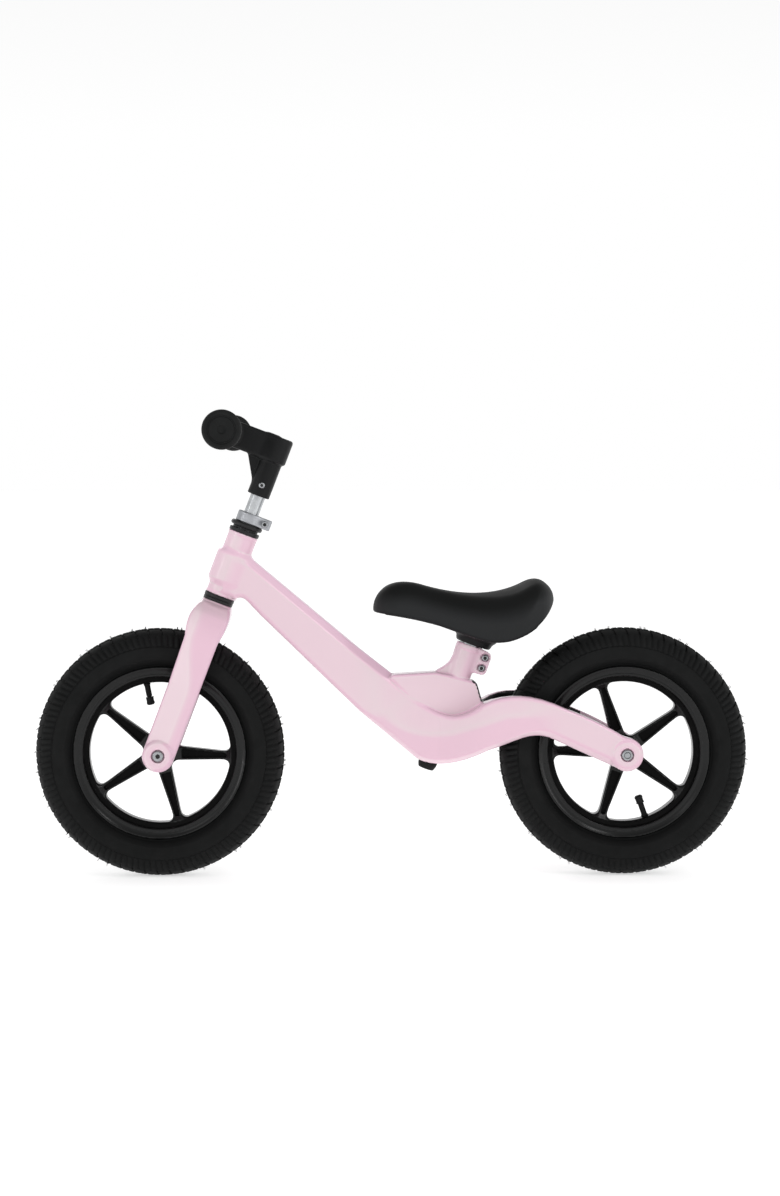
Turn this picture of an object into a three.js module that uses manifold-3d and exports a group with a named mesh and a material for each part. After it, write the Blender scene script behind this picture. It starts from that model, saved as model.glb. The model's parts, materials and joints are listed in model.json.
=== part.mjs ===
// A child's 12 inch balance bike: cast frame and fork, split seat tube, threadless headset with a
// clamped stem, and two five-spoke wheels with air tyres.
//
// Units are millimetres. Everything is drawn in side-view axes: x forward, y up, z to the rider's
// right, with the origin on the ground midway between the wheels. The last group turns these axes
// so that +X is forward, +Y is the rider's left and +Z is up.

import * as THREE from "three";
import { mergeVertices } from "three/addons/utils/BufferGeometryUtils.js";
import Module from "manifold-3d";

const wasm = await Module();
wasm.setup();

// ---- Driving dimensions ----

const GAP = 0.3; // between pieces that touch
const WHEEL_STEPS = 32;
const TUBE_STEPS = 24;
const ROUND_STEPS = 16;
const SMALL_STEPS = 12;
const CURVE_STEPS = 5;

const WHEELBASE = 575;
const TYRE_RADIUS = 154;
const TYRE_HALF_WIDTH = 27;
const RIM_FLANGE_RADIUS = 107.5;
const RIM_OPENING_RADIUS = 87;
const HUB_HALF_LENGTH = 30;
const SPOKES = 5;
const REAR_SPOKE_ANGLE = 0;
const FRONT_SPOKE_ANGLE = 39;
const REAR_VALVE_ANGLE = 251;
const FRONT_VALVE_ANGLE = 79;

const AXLE_RADIUS = 4;
const BEARING_RADIUS = 11;
const BEARING_WIDTH = 7;
const DROPOUT_INNER = 37; // from the centre plane to a stay's or blade's inner face
const DROPOUT_OUTER = 54;
const BOSS_FACE = 56.5;
const BOSS_RADIUS = 14.5;
const BOSS_RECESS_RADIUS = 8.2;
const BOSS_RECESS_DEPTH = 5;

const STEERING_TILT = 21; // degrees that the steering axis leans back
const STEERER_RADIUS = 11.1;
const STEERER_BORE = 9.7;
const STEERER_TOP = 312; // heights along the steering axis, from the front hub
const CROWN_TOP = 199;
const HEAD_TUBE_BOTTOM = 208.3;
const HEAD_TUBE_TOP = 289.7;
const HEAD_TUBE_RADIUS = 18.3;
const HEAD_TUBE_BORE = 15.8;
const SPACER_BOTTOM = 297.5;
const SPACER_HEIGHT = 5.7;
const SPACER_RADIUS = 20;
const CLAMP_BOTTOM = 303.5;
const CLAMP_HEIGHT = 13;
const CLAMP_RADIUS = 16;
const CLAMP_EAR_REACH = 28;
const CLAMP_BOLT_X = -20.5;

const STEM_TUBE_RADIUS = 9.4;
const STEM_TUBE_BORE = 7.6;
const STEM_TUBE_BOTTOM = 241;
const COLLAR_BOTTOM = 340;
const COLLAR_TOP = 386;
const COLLAR_RADIUS = 14;
const STEM_TOP = 417.5;
const BAR_X = 63; // ahead of the steering axis
const BAR_HEIGHT = 401;
const BAR_RADIUS = 11.1;
const BAR_BORE = 9.5;
const BAR_HALF_LENGTH = 197;
const GRIP_INNER_END = 98;
const GRIP_OUTER_END = 203;

const SEAT_TILT = 19.5;
const SEAT_TOP = { x: -96.4, y: 286.5 }; // centre of the seat tube's upper rim
const SEAT_TUBE_RADIUS = 15.2;
const SEAT_TUBE_BORE = 12.5;
const SEAT_POST_RADIUS = 12.2;
const SEAT_POST_BORE = 10.2;
const SEAT_BOLT_X = -23;
const SEAT_BOLT_HEIGHTS = { upper: -8.8, lower: -22.2 };
const EAR_HALF_WIDTH = 9;
const EAR_RECESS_DEPTH = 2;

const M5_RADIUS = 2.5;
const M5_HOLE = 2.8;
const M5_NUT_RADIUS = 4.6;

const FRONT_HUB = new THREE.Vector2(WHEELBASE / 2, TYRE_RADIUS);
const REAR_HUB = new THREE.Vector2(-WHEELBASE / 2, TYRE_RADIUS);

const radians = THREE.MathUtils.degToRad;

// ---- Materials ----

const finish = (color, roughness, metalness) =>
  new THREE.MeshStandardMaterial({ color, roughness, metalness });

const PAINT = finish(0xe9c6d6, 0.22, 0);
const BLACK_METAL = finish(0x141516, 0.35, 0.8);
const STEEL = finish(0xb9bcbf, 0.22, 1);
const ALUMINIUM = finish(0xcfd2d4, 0.3, 1);
const RIM_PLASTIC = finish(0x1b1d1d, 0.45, 0);
const MOULDED_PLASTIC = finish(0x17181a, 0.5, 0);
const TYRE_RUBBER = finish(0x1c1e1d, 0.85, 0);
const BUTYL = finish(0x101112, 0.7, 0);
const GRIP_RUBBER = finish(0x232524, 0.7, 0);
const SADDLE_SKIN = finish(0x2a2b2c, 0.6, 0);

// ---- Solids ----

const MERGE_DISTANCE = 1e-4;

function signedVolume(position, triangles) {
  const [a, b, c] = [new THREE.Vector3(), new THREE.Vector3(), new THREE.Vector3()];
  let volume = 0;
  for (let i = 0; i < triangles.length; i += 3) {
    a.fromBufferAttribute(position, triangles[i]);
    b.fromBufferAttribute(position, triangles[i + 1]);
    c.fromBufferAttribute(position, triangles[i + 2]);
    volume += a.dot(b.cross(c)) / 6;
  }
  return volume;
}

// A closed geometry as a solid, with its faces pointing out.
function toSolid(geometry) {
  const bare = new THREE.BufferGeometry();
  bare.setAttribute("position", geometry.getAttribute("position"));
  bare.setIndex(geometry.getIndex());
  const merged = mergeVertices(bare, MERGE_DISTANCE);
  const index = merged.getIndex().array;
  const triangles = [];
  for (let i = 0; i < index.length; i += 3) {
    const [a, b, c] = [index[i], index[i + 1], index[i + 2]];
    if (a !== b && b !== c && c !== a) triangles.push(a, b, c);
  }
  const position = merged.getAttribute("position");
  if (signedVolume(position, triangles) < 0) triangles.reverse();
  const mesh = new wasm.Mesh({
    numProp: 3,
    vertProperties: new Float32Array(position.array),
    triVerts: new Uint32Array(triangles),
  });
  return new wasm.Manifold(mesh);
}

function toGeometry(solid) {
  const mesh = solid.getMesh();
  const geometry = new THREE.BufferGeometry();
  geometry.setAttribute("position", new THREE.BufferAttribute(mesh.vertProperties, 3));
  geometry.setIndex(new THREE.BufferAttribute(mesh.triVerts, 1));
  geometry.computeVertexNormals();
  return geometry;
}

const join = (first, ...rest) =>
  toGeometry(rest.reduce((solid, piece) => solid.add(toSolid(piece)), toSolid(first)));

const cut = (first, ...rest) =>
  toGeometry(rest.reduce((solid, piece) => solid.subtract(toSolid(piece)), toSolid(first)));

const common = (first, second) => toGeometry(toSolid(first).intersect(toSolid(second)));

// ---- Shapes ----

const outline = (points) => new THREE.Shape(points.map(([x, y]) => new THREE.Vector2(x, y)));

// An x, y outline extruded along z.
function plate(shape, low, high) {
  const geometry = new THREE.ExtrudeGeometry(shape, {
    depth: high - low,
    bevelEnabled: false,
    curveSegments: CURVE_STEPS,
  });
  return geometry.translate(0, 0, low);
}

// An x, z outline extruded along y. It is used for outlines that are the same on both sides.
const layer = (shape, low, high) => plate(shape, low, high).rotateX(-Math.PI / 2);

// A z, y outline, the same on both sides, extruded along x.
const slice = (shape, low, high) => plate(shape, low, high).rotateY(Math.PI / 2);

// A solid of revolution about y from points of [radius, height].
const turned = (profile, steps) =>
  new THREE.LatheGeometry(
    profile.map(([radius, height]) => new THREE.Vector2(radius, height)),
    steps,
  );

const post = (radius, low, high, steps = ROUND_STEPS) =>
  new THREE.CylinderGeometry(radius, radius, high - low, steps).translate(0, (low + high) / 2, 0);

function sleeve(inner, outer, low, high, steps = ROUND_STEPS) {
  const profile = [[inner, low], [outer, low], [outer, high], [inner, high], [inner, low]];
  return turned(profile, steps);
}

// Turns a piece built about y so that its axis is z, with +y going to +z.
const across = (geometry) => geometry.rotateX(Math.PI / 2);

const pin = (radius, low, high, steps) => across(post(radius, low, high, steps));

const spot = (geometry, x, y) => geometry.translate(x, y, 0);

// The tilted axes of the steering and of the seat tube.
function tiltedAxes(x, y, degrees) {
  const matrix = new THREE.Matrix4().makeRotationZ(radians(degrees));
  return matrix.setPosition(x, y, 0);
}

const STEERING_AXES = tiltedAxes(FRONT_HUB.x, FRONT_HUB.y, STEERING_TILT);
const SEAT_AXES = tiltedAxes(SEAT_TOP.x, SEAT_TOP.y, SEAT_TILT);
const alongSteering = (geometry) => geometry.applyMatrix4(STEERING_AXES);
const alongSeat = (geometry) => geometry.applyMatrix4(SEAT_AXES);

// A closed skin through rings of the same number of points, with a flat fan at each end.
function loft(rings) {
  const count = rings[0].length;
  const points = rings.flat();
  const index = [];
  for (let ring = 0; ring + 1 < rings.length; ring += 1) {
    for (let i = 0; i < count; i += 1) {
      const a = ring * count + i;
      const b = ring * count + ((i + 1) % count);
      index.push(a, b, b + count, a, b + count, a + count);
    }
  }
  for (const [ring, flip] of [[0, false], [rings.length - 1, true]]) {
    const centre = new THREE.Vector3();
    rings[ring].forEach((point) => centre.addScaledVector(point, 1 / count));
    points.push(centre);
    for (let i = 0; i < count; i += 1) {
      const [a, b] = [ring * count + i, ring * count + ((i + 1) % count)];
      index.push(points.length - 1, flip ? a : b, flip ? b : a);
    }
  }
  const geometry = new THREE.BufferGeometry().setFromPoints(points);
  geometry.setIndex(index);
  return geometry;
}

// ---- Fasteners, built along z with the head on the left side ----

const SOCKET_DEPTH = 2.4;

// A screw whose head starts at headInner and rises to headOuter, both on the -z side.
function socketScrew({ headRadius, headSides, headInner, headOuter, shank, shankEnd, socket }) {
  const head = pin(headRadius, headOuter, headInner, headSides);
  const body = join(head, pin(shank, headInner - 1, shankEnd, SMALL_STEPS));
  return cut(body, pin(socket, headOuter - 1, headOuter + SOCKET_DEPTH, 6));
}

function hexNut(radius, hole, low, high) {
  return cut(pin(radius, low, high, 6), pin(hole, low - 1, high + 1, SMALL_STEPS));
}

// ---- Frame casting ----

const BEAM_OUTLINE = (() => {
  const shape = new THREE.Shape();
  shape.moveTo(192, 404);
  shape.lineTo(175, 395);
  shape.lineTo(40, 282);
  shape.lineTo(-1, 250);
  shape.lineTo(-29, 223);
  shape.quadraticCurveTo(-55, 199, -77, 200);
  shape.quadraticCurveTo(-95, 202, -111, 216);
  shape.quadraticCurveTo(-153, 239, -212, 211);
  shape.quadraticCurveTo(-256, 194, -282, 177.5);
  shape.lineTo(-297, 172);
  shape.absarc(REAR_HUB.x, REAR_HUB.y, 20.3, radians(118), radians(294), false);
  shape.lineTo(-198, 172.5);
  shape.quadraticCurveTo(-181, 181, -159, 174);
  shape.lineTo(-116, 157.5);
  shape.quadraticCurveTo(-62, 129, -31, 145.5);
  shape.lineTo(40, 205);
  shape.lineTo(162, 323.5);
  shape.lineTo(176.5, 339);
  shape.quadraticCurveTo(186, 350, 194, 343.5);
  shape.lineTo(200, 347);
  return shape;
})();

// Half of the plan view: the beam widens behind the seat tube into two stays.
const BEAM_HALF_WIDTHS = [[215, 20], [120, 21], [0, 22], [-40, 27], [-80, 40], [-108, 50], [-130, 54]];
const STAY_END = -320;
const YOKE_CENTRE = -156; // centre of the round end of the slot that the wheel turns in

function beamPlan() {
  const left = [...BEAM_HALF_WIDTHS, [STAY_END, DROPOUT_OUTER]];
  const right = left.map(([x, width]) => [x, -width]).reverse();
  return outline([...left, ...right]);
}

function wheelSlot() {
  const shape = new THREE.Shape();
  shape.moveTo(STAY_END - 1, DROPOUT_INNER);
  shape.lineTo(STAY_END - 1, -DROPOUT_INNER);
  shape.absarc(YOKE_CENTRE, 0, DROPOUT_INNER, -Math.PI / 2, Math.PI / 2, false);
  return shape;
}

function gusset() {
  const points = [[4, 246], [-1, 250.5], [-53, 253.5], [-70, 250], [-101, 242], [-105, 239],
    [-107, 233], [-113, 212], [-100, 196], [-40, 200]];
  const web = [[-50, 248], [-54, 254.5], [-64.3, 260.4], [-73.4, 267.2], [-77.8, 273.2],
    [-80.2, 283.7], [-90, 280], [-85, 240]];
  return join(plate(outline(points), -14, 14), plate(outline(web), -5, 5));
}

function headTube() {
  const r = HEAD_TUBE_RADIUS;
  const collar = 22.6;
  const profile = [[0, HEAD_TUBE_BOTTOM], [r, HEAD_TUBE_BOTTOM], [r, 221], [collar, 227],
    [collar, 262], [r, 268], [r, HEAD_TUBE_TOP], [0, HEAD_TUBE_TOP]];
  return alongSteering(turned(profile, ROUND_STEPS));
}

function seatClampEars() {
  const ears = outline([[-10, 0.5], [-26, -1.5], [-30.5, -6], [-30.5, -25], [-26, -30.5],
    [-16, -31], [-10, -34]]);
  return alongSeat(plate(ears, -EAR_HALF_WIDTH, EAR_HALF_WIDTH));
}

function bothSides(make) {
  return [-1, 1].map((side) => make(side));
}

function axleBosses(hub) {
  const low = DROPOUT_OUTER - 2;
  return bothSides((side) =>
    spot(pin(BOSS_RADIUS, Math.min(side * low, side * BOSS_FACE),
      Math.max(side * low, side * BOSS_FACE)), hub.x, hub.y));
}

// The axle's hole and the recess for its nut, on both sides of a wheel.
function axleCuts(hub) {
  const floor = BOSS_FACE - BOSS_RECESS_DEPTH;
  const recesses = bothSides((side) => {
    const ends = [side * floor, side * (BOSS_FACE + 1)].sort((a, b) => a - b);
    return spot(pin(BOSS_RECESS_RADIUS, ends[0], ends[1]), hub.x, hub.y);
  });
  const hole = pin(AXLE_RADIUS + GAP, -BOSS_FACE - 1, BOSS_FACE + 1, SMALL_STEPS);
  return [spot(hole, hub.x, hub.y), ...recesses];
}

function seatBoltCuts() {
  const ends = [EAR_HALF_WIDTH - EAR_RECESS_DEPTH, EAR_HALF_WIDTH + 1];
  return Object.values(SEAT_BOLT_HEIGHTS).flatMap((height) => [
    pin(M5_HOLE, -EAR_HALF_WIDTH - 1, EAR_HALF_WIDTH + 1, SMALL_STEPS),
    pin(5.2, -ends[1], -ends[0], SMALL_STEPS),
    pin(5.2, ends[0], ends[1], SMALL_STEPS),
  ].map((piece) => alongSeat(spot(piece, SEAT_BOLT_X, height))));
}

function frameCasting() {
  const beam = common(
    plate(BEAM_OUTLINE, -DROPOUT_OUTER - 1, DROPOUT_OUTER + 1),
    layer(beamPlan(), 0, 450),
  );
  const yoke = cut(beam, layer(wheelSlot(), 0, 450));
  const seatTube = alongSeat(post(SEAT_TUBE_RADIUS, -148, 0));
  const body = join(yoke, gusset(), headTube(), seatTube, seatClampEars(), ...axleBosses(REAR_HUB));
  const slit = alongSeat(new THREE.BoxGeometry(30, 46, 2.6).translate(-23, -17, 0));
  return cut(
    body,
    alongSteering(post(HEAD_TUBE_BORE, HEAD_TUBE_BOTTOM - 1, HEAD_TUBE_TOP + 1)),
    alongSeat(post(SEAT_TUBE_BORE, -175, 1)),
    slit,
    ...seatBoltCuts(),
    ...axleCuts(REAR_HUB),
  );
}

function seatTubePlug() {
  const profile = [[0, -164], [9.5, -163.5], [11.6, -158], [12.1, -152], [12.1, -140], [0, -140]];
  return turned(profile, ROUND_STEPS);
}

function seatClampBolt(height) {
  const floor = EAR_HALF_WIDTH - EAR_RECESS_DEPTH + GAP;
  const screw = socketScrew({
    headRadius: 4.25, headSides: SMALL_STEPS, headInner: -floor, headOuter: -floor - 4.6,
    shank: M5_RADIUS, shankEnd: 11.8, socket: 2.3,
  });
  return spot(screw, SEAT_BOLT_X, height);
}

function seatClampNut(height) {
  const floor = EAR_HALF_WIDTH - EAR_RECESS_DEPTH + GAP;
  return spot(hexNut(M5_NUT_RADIUS, M5_HOLE, floor, floor + 4), SEAT_BOLT_X, height);
}

// ---- Headset ----

function headsetCup(rim, towardsTube) {
  const up = towardsTube;
  const profile = [[16.4, 0], [19.1, 0], [19.1, 4.6], [15.5, 4.6], [15.5, 12.6], [12.4, 12.6],
    [12.4, 3.8], [16.4, 3.8], [16.4, 0]];
  return turned(profile.map(([radius, depth]) => [radius, rim + up * depth]), ROUND_STEPS);
}

const ballRing = (height) =>
  new THREE.TorusGeometry(14.3, 1.45, 6, ROUND_STEPS).rotateX(Math.PI / 2).translate(0, height, 0);

const LOWER_CUP_RIM = HEAD_TUBE_BOTTOM - GAP - 4.6;
const UPPER_CUP_RIM = HEAD_TUBE_TOP + GAP + 4.6;

function headsetSpacer() {
  const top = SPACER_BOTTOM + SPACER_HEIGHT;
  const inner = STEERER_RADIUS + 0.4;
  const profile = [[inner, SPACER_BOTTOM], [SPACER_RADIUS - 1.5, SPACER_BOTTOM],
    [SPACER_RADIUS, SPACER_BOTTOM + 1.5], [SPACER_RADIUS, top - 1.5], [SPACER_RADIUS - 1.5, top],
    [inner, top], [inner, SPACER_BOTTOM]];
  return turned(profile, ROUND_STEPS);
}

// ---- Fork ----

const FORK_FRONT = (() => {
  const shape = new THREE.Shape();
  const [inner, outer] = [DROPOUT_INNER, DROPOUT_OUTER];
  shape.moveTo(19, CROWN_TOP);
  shape.lineTo(24, CROWN_TOP - 3);
  shape.quadraticCurveTo(outer, 186, outer, 145);
  shape.lineTo(outer, -22);
  shape.lineTo(inner, -22);
  shape.lineTo(inner, 128);
  shape.absellipse(0, 128, inner, 35, 0, Math.PI, false, 0);
  shape.lineTo(-inner, -22);
  shape.lineTo(-outer, -22);
  shape.lineTo(-outer, 145);
  shape.quadraticCurveTo(-outer, 186, -24, CROWN_TOP - 3);
  shape.lineTo(-19, CROWN_TOP);
  return shape;
})();

const FORK_SIDE = (() => {
  const shape = new THREE.Shape();
  shape.moveTo(18.5, CROWN_TOP);
  shape.lineTo(-18.5, CROWN_TOP);
  shape.lineTo(-22.3, 188);
  shape.lineTo(-22.3, 172);
  shape.lineTo(-19.6, 154);
  shape.lineTo(-19.6, 3);
  shape.absarc(0, 0, 19.8, Math.PI, 2 * Math.PI, false);
  shape.lineTo(19.6, 90);
  shape.lineTo(21.5, 148);
  shape.lineTo(25, 172);
  shape.lineTo(22, 190);
  return shape;
})();

const FORK_CENTRE = new THREE.Vector2(0, 0); // the front hub, in the steering axes

function forkCasting() {
  const body = common(slice(FORK_FRONT, -30, 30), plate(FORK_SIDE, -60, 60));
  const steererSocket = post(STEERER_RADIUS + GAP, 174, CROWN_TOP + 1);
  return cut(join(body, ...axleBosses(FORK_CENTRE)), steererSocket, ...axleCuts(FORK_CENTRE));
}

function steererTube() {
  const slot = new THREE.BoxGeometry(8, 40, 2.4).translate(-STEERER_RADIUS, STEERER_TOP - 6, 0);
  return cut(sleeve(STEERER_BORE, STEERER_RADIUS, 174 + GAP, STEERER_TOP), slot);
}

// ---- Axles ----

const NUT_INNER = BOSS_FACE - BOSS_RECESS_DEPTH + GAP;
const NUT_OUTER = BOSS_FACE + 0.6;

// The front axle is one long screw with a round head; a round nut with the same socket ends it.
function frontAxle() {
  return socketScrew({
    headRadius: 6.8, headSides: ROUND_STEPS, headInner: -NUT_INNER, headOuter: -NUT_OUTER,
    shank: AXLE_RADIUS, shankEnd: 51, socket: 3,
  });
}

function frontAxleNut() {
  const socket = pin(3, NUT_OUTER - SOCKET_DEPTH, NUT_OUTER + 1, 6);
  return cut(pin(6.8, NUT_INNER, NUT_OUTER), socket);
}

const rearAxle = () => {
  const half = 58;
  const profile = [[0, -half], [2.8, -half], [AXLE_RADIUS, 1.2 - half], [AXLE_RADIUS, half - 1.2],
    [2.8, half], [0, half]];
  return across(turned(profile, SMALL_STEPS));
};

function rearAxleNut(side) {
  const ends = [side * NUT_INNER, side * NUT_OUTER].sort((a, b) => a - b);
  return hexNut(7.5, AXLE_RADIUS + GAP, ends[0], ends[1]);
}

function axleSpacer(side) {
  const ends = [side * (HUB_HALF_LENGTH - 0.1), side * (DROPOUT_INNER - GAP)].sort((a, b) => a - b);
  return across(sleeve(AXLE_RADIUS + 0.4, 8, ends[0], ends[1], SMALL_STEPS));
}

// ---- Wheels, built about their own centre ----

const mirrored = (half) => [...half, ...half.map(([r, z]) => [r, -z]).reverse()];

function tyre() {
  const w = TYRE_HALF_WIDTH;
  const outer = [[102, 10.5], [102, 14], [108.6, 16.6], [114, 23.5], [125, w], [137, 25.8],
    [147, 19.5], [152.4, 10]];
  const inner = [[148, 10.5], [140, 19], [127, 23], [115, 19.5]];
  const profile = [...outer, [TYRE_RADIUS, 0], ...outer.map(([r, z]) => [r, -z]).reverse()];
  const lining = [...inner.map(([r, z]) => [r, -z]).reverse(), [150, 0], ...inner];
  return across(turned([...profile, ...lining, profile[0]], WHEEL_STEPS));
}

const SPOKE_OUTLINE = (() => {
  const shape = new THREE.Shape();
  const [root, tip] = [8.6, 5.6];
  shape.moveTo(14, -root);
  shape.lineTo(76, -tip);
  shape.quadraticCurveTo(85, -tip, 89, -15);
  shape.lineTo(89, 15);
  shape.quadraticCurveTo(85, tip, 76, tip);
  shape.lineTo(14, root);
  return shape;
})();

const VALVE_HOLE_RADIUS = 4.6;

function rimRing() {
  const half = [[RIM_OPENING_RADIUS, 0], [87.5, 11], [91, 15.5], [100, 17.6],
    [RIM_FLANGE_RADIUS - 1, 19.6], [RIM_FLANGE_RADIUS, 18], [101.6, 14.6], [100.4, 8], [97, 5]];
  const profile = [...half, ...half.slice(1).map(([r, z]) => [r, -z]).reverse(), half[0]];
  return across(turned(profile, WHEEL_STEPS));
}

function hub() {
  const half = [[0, HUB_HALF_LENGTH], [15.5, HUB_HALF_LENGTH], [16.5, 14], [21, 8]];
  return across(turned(mirrored(half), ROUND_STEPS));
}

function rim(spokeAngle, valveAngle) {
  const spokes = Array.from({ length: SPOKES }, (_, i) =>
    plate(SPOKE_OUTLINE, -7.5, 7.5).rotateZ(radians(spokeAngle + (i * 360) / SPOKES)));
  const seat = BEARING_RADIUS + GAP;
  const seatFloor = HUB_HALF_LENGTH - BEARING_WIDTH - 0.7;
  const valveHole = post(VALVE_HOLE_RADIUS, 80, 112, SMALL_STEPS).rotateZ(radians(valveAngle - 90));
  return cut(
    join(rimRing(), hub(), ...spokes),
    pin(7, -40, 40),
    pin(seat, seatFloor, 40),
    pin(seat, -40, -seatFloor),
    valveHole,
  );
}

const TUBE_RING_RADIUS = 128;
const TUBE_RADIUS = 18.5;
const TUBE_WALL = 1.5;

// A hollow ring. Its only opening is the bore of the valve stem.
function innerTube(valveAngle) {
  const ring = (radius) => new THREE.TorusGeometry(TUBE_RING_RADIUS, radius, 6, TUBE_STEPS);
  const stem = join(post(3.9, 70, 114, SMALL_STEPS), post(2.4, 65.5, 71, SMALL_STEPS));
  const turn = radians(valveAngle - 90);
  return cut(
    join(ring(TUBE_RADIUS), stem.rotateZ(turn)),
    ring(TUBE_RADIUS - TUBE_WALL),
    post(0.9, 60, TUBE_RING_RADIUS, 8).rotateZ(turn),
  );
}

function valveCap(valveAngle) {
  const profile = [[0, 59.5], [3.2, 59.5], [4.2, 61], [4.2, 69.6], [2.7, 69.6], [2.7, 64.5], [0, 64.5]];
  return turned(profile, SMALL_STEPS).rotateZ(radians(valveAngle - 90));
}

function bearing(side) {
  const outer = HUB_HALF_LENGTH - 0.4;
  const ends = [side * outer, side * (outer - BEARING_WIDTH)].sort((a, b) => a - b);
  return across(sleeve(AXLE_RADIUS + GAP, BEARING_RADIUS, ends[0], ends[1]));
}

function bearingSleeve() {
  const half = HUB_HALF_LENGTH - 0.4 - BEARING_WIDTH - GAP;
  return across(sleeve(AXLE_RADIUS + 0.4, 6.5, -half, half, SMALL_STEPS));
}

// ---- Saddle ----

// Stations from tail to nose: x, underside, top, half-width, and how square the section is.
const SADDLE_STATIONS = [
  [-201, 338, 347, 20, 2.0],
  [-197, 333, 355, 42, 2.2],
  [-186, 319, 366, 59, 2.4],
  [-170, 306, 368, 67, 2.6],
  [-148, 297, 359.5, 69, 2.7],
  [-124, 293, 352.5, 64, 2.7],
  [-98, 297, 351, 53, 2.6],
  [-72, 307, 353.5, 43, 2.5],
  [-45, 315, 359, 37, 2.4],
  [-16, 322, 364.8, 34, 2.4],
  [6, 325.5, 361, 31, 2.3],
  [18, 327.5, 351, 25, 2.2],
  [23, 329, 338, 14, 2.0],
];
const SADDLE_RING_POINTS = 20;

function saddleRing([x, bottom, top, halfWidth, power]) {
  const middle = bottom + (top - bottom) * 0.45;
  return Array.from({ length: SADDLE_RING_POINTS }, (_, i) => {
    const angle = (2 * Math.PI * i) / SADDLE_RING_POINTS;
    const [c, s] = [Math.cos(angle), Math.sin(angle)];
    const height = s > 0 ? top - middle : middle - bottom;
    const y = middle + Math.sign(s) * height * Math.abs(s) ** (2 / power);
    return new THREE.Vector3(x, y, halfWidth * Math.sign(c) * Math.abs(c) ** (2 / power));
  });
}

// The hard base in the seat axes, grown by clear on every side for the pocket in the pad.
function saddleBaseBody(clear) {
  const boss = turned([[0, 1.5 - clear], [20.6 + clear, 1.5 - clear], [26.5 + clear, 15],
    [24 + clear, 26 + clear], [0, 26 + clear]], ROUND_STEPS);
  const board = outline([[-26 - clear, -20], [-14, -24 - clear], [50, -20 - clear],
    [88 + clear, -11], [88 + clear, 11], [50, 20 + clear], [-14, 24 + clear], [-26 - clear, 20]]);
  return join(boss, layer(board, 23 - clear, 28 + clear));
}

const POST_IN_BOSS = 20;

function saddleBase() {
  return cut(saddleBaseBody(0), post(SEAT_POST_RADIUS + GAP, 0, POST_IN_BOSS + GAP));
}

function saddlePad() {
  return cut(loft(SADDLE_STATIONS.map(saddleRing)), alongSeat(saddleBaseBody(0.4)));
}

const seatPost = () => sleeve(SEAT_POST_BORE, SEAT_POST_RADIUS, -112, POST_IN_BOSS);

// ---- Stem clamp, stem and handlebar ----

function stemClamp() {
  const [low, high] = [CLAMP_BOTTOM, CLAMP_BOTTOM + CLAMP_HEIGHT];
  const ears = outline([[0, -9.5], [0, 9.5], [-CLAMP_EAR_REACH, 9.5], [-CLAMP_EAR_REACH, -9.5]]);
  const slit = new THREE.BoxGeometry(40, CLAMP_HEIGHT + 2, 2.4).translate(-20, low + 6.5, 0);
  const hole = spot(pin(M5_HOLE, -20, 20, SMALL_STEPS), CLAMP_BOLT_X, low + CLAMP_HEIGHT / 2);
  const body = join(post(CLAMP_RADIUS, low, high), layer(ears, low, high));
  return cut(body, post(STEERER_RADIUS + 0.4, low - 1, high + 1), slit, hole);
}

const CLAMP_FACE = 9.5;
const CLAMP_BOLT_HEIGHT = CLAMP_BOTTOM + CLAMP_HEIGHT / 2;

function stemClampBolt() {
  const screw = socketScrew({
    headRadius: M5_NUT_RADIUS, headSides: 6, headInner: -CLAMP_FACE - GAP,
    headOuter: -CLAMP_FACE - GAP - 4.5, shank: M5_RADIUS, shankEnd: 15, socket: 2.3,
  });
  return spot(screw, CLAMP_BOLT_X, CLAMP_BOLT_HEIGHT);
}

function stemClampNut() {
  const nut = hexNut(M5_NUT_RADIUS, M5_HOLE, CLAMP_FACE + GAP, CLAMP_FACE + GAP + 4);
  return spot(nut, CLAMP_BOLT_X, CLAMP_BOLT_HEIGHT);
}

const CROSS_BOLT_HEIGHT = COLLAR_BOTTOM + 14;

function stemBody() {
  const side = new THREE.Shape();
  side.moveTo(-17.5, COLLAR_TOP - 1);
  side.lineTo(16, COLLAR_TOP - 1);
  side.lineTo(BAR_X, BAR_HEIGHT - 16.5);
  side.absarc(BAR_X, BAR_HEIGHT, 16.5, -Math.PI / 2, Math.PI / 2, false);
  side.lineTo(-13, STEM_TOP);
  side.quadraticCurveTo(-17.5, STEM_TOP, -17.5, STEM_TOP - 4.5);
  const web = outline([[8, 352], [13.5, 352], [22, COLLAR_TOP], [8, COLLAR_TOP]]);
  const barrel = spot(pin(16.5, -30, 30), BAR_X, BAR_HEIGHT);
  const body = join(
    plate(side, -15.5, 15.5),
    post(COLLAR_RADIUS, COLLAR_BOTTOM, COLLAR_TOP),
    plate(web, -4, 4),
    barrel,
  );
  return cut(
    body,
    post(STEM_TUBE_RADIUS + GAP, COLLAR_BOTTOM - 1, 398 + GAP),
    spot(pin(BAR_RADIUS + GAP, -40, 40), BAR_X, BAR_HEIGHT),
    spot(pin(M5_HOLE, -40, 40, SMALL_STEPS), 0, CROSS_BOLT_HEIGHT),
  );
}

function stemTube() {
  const tube = sleeve(STEM_TUBE_BORE, STEM_TUBE_RADIUS, STEM_TUBE_BOTTOM, 398);
  return cut(tube, spot(pin(M5_HOLE, -40, 40, SMALL_STEPS), 0, CROSS_BOLT_HEIGHT));
}

function stemCrossBolt() {
  const screw = socketScrew({
    headRadius: 3.9, headSides: SMALL_STEPS, headInner: -COLLAR_RADIUS - GAP,
    headOuter: -COLLAR_RADIUS - GAP - 2.8, shank: M5_RADIUS, shankEnd: 19, socket: 1.9,
  });
  return spot(screw, 0, CROSS_BOLT_HEIGHT);
}

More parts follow.
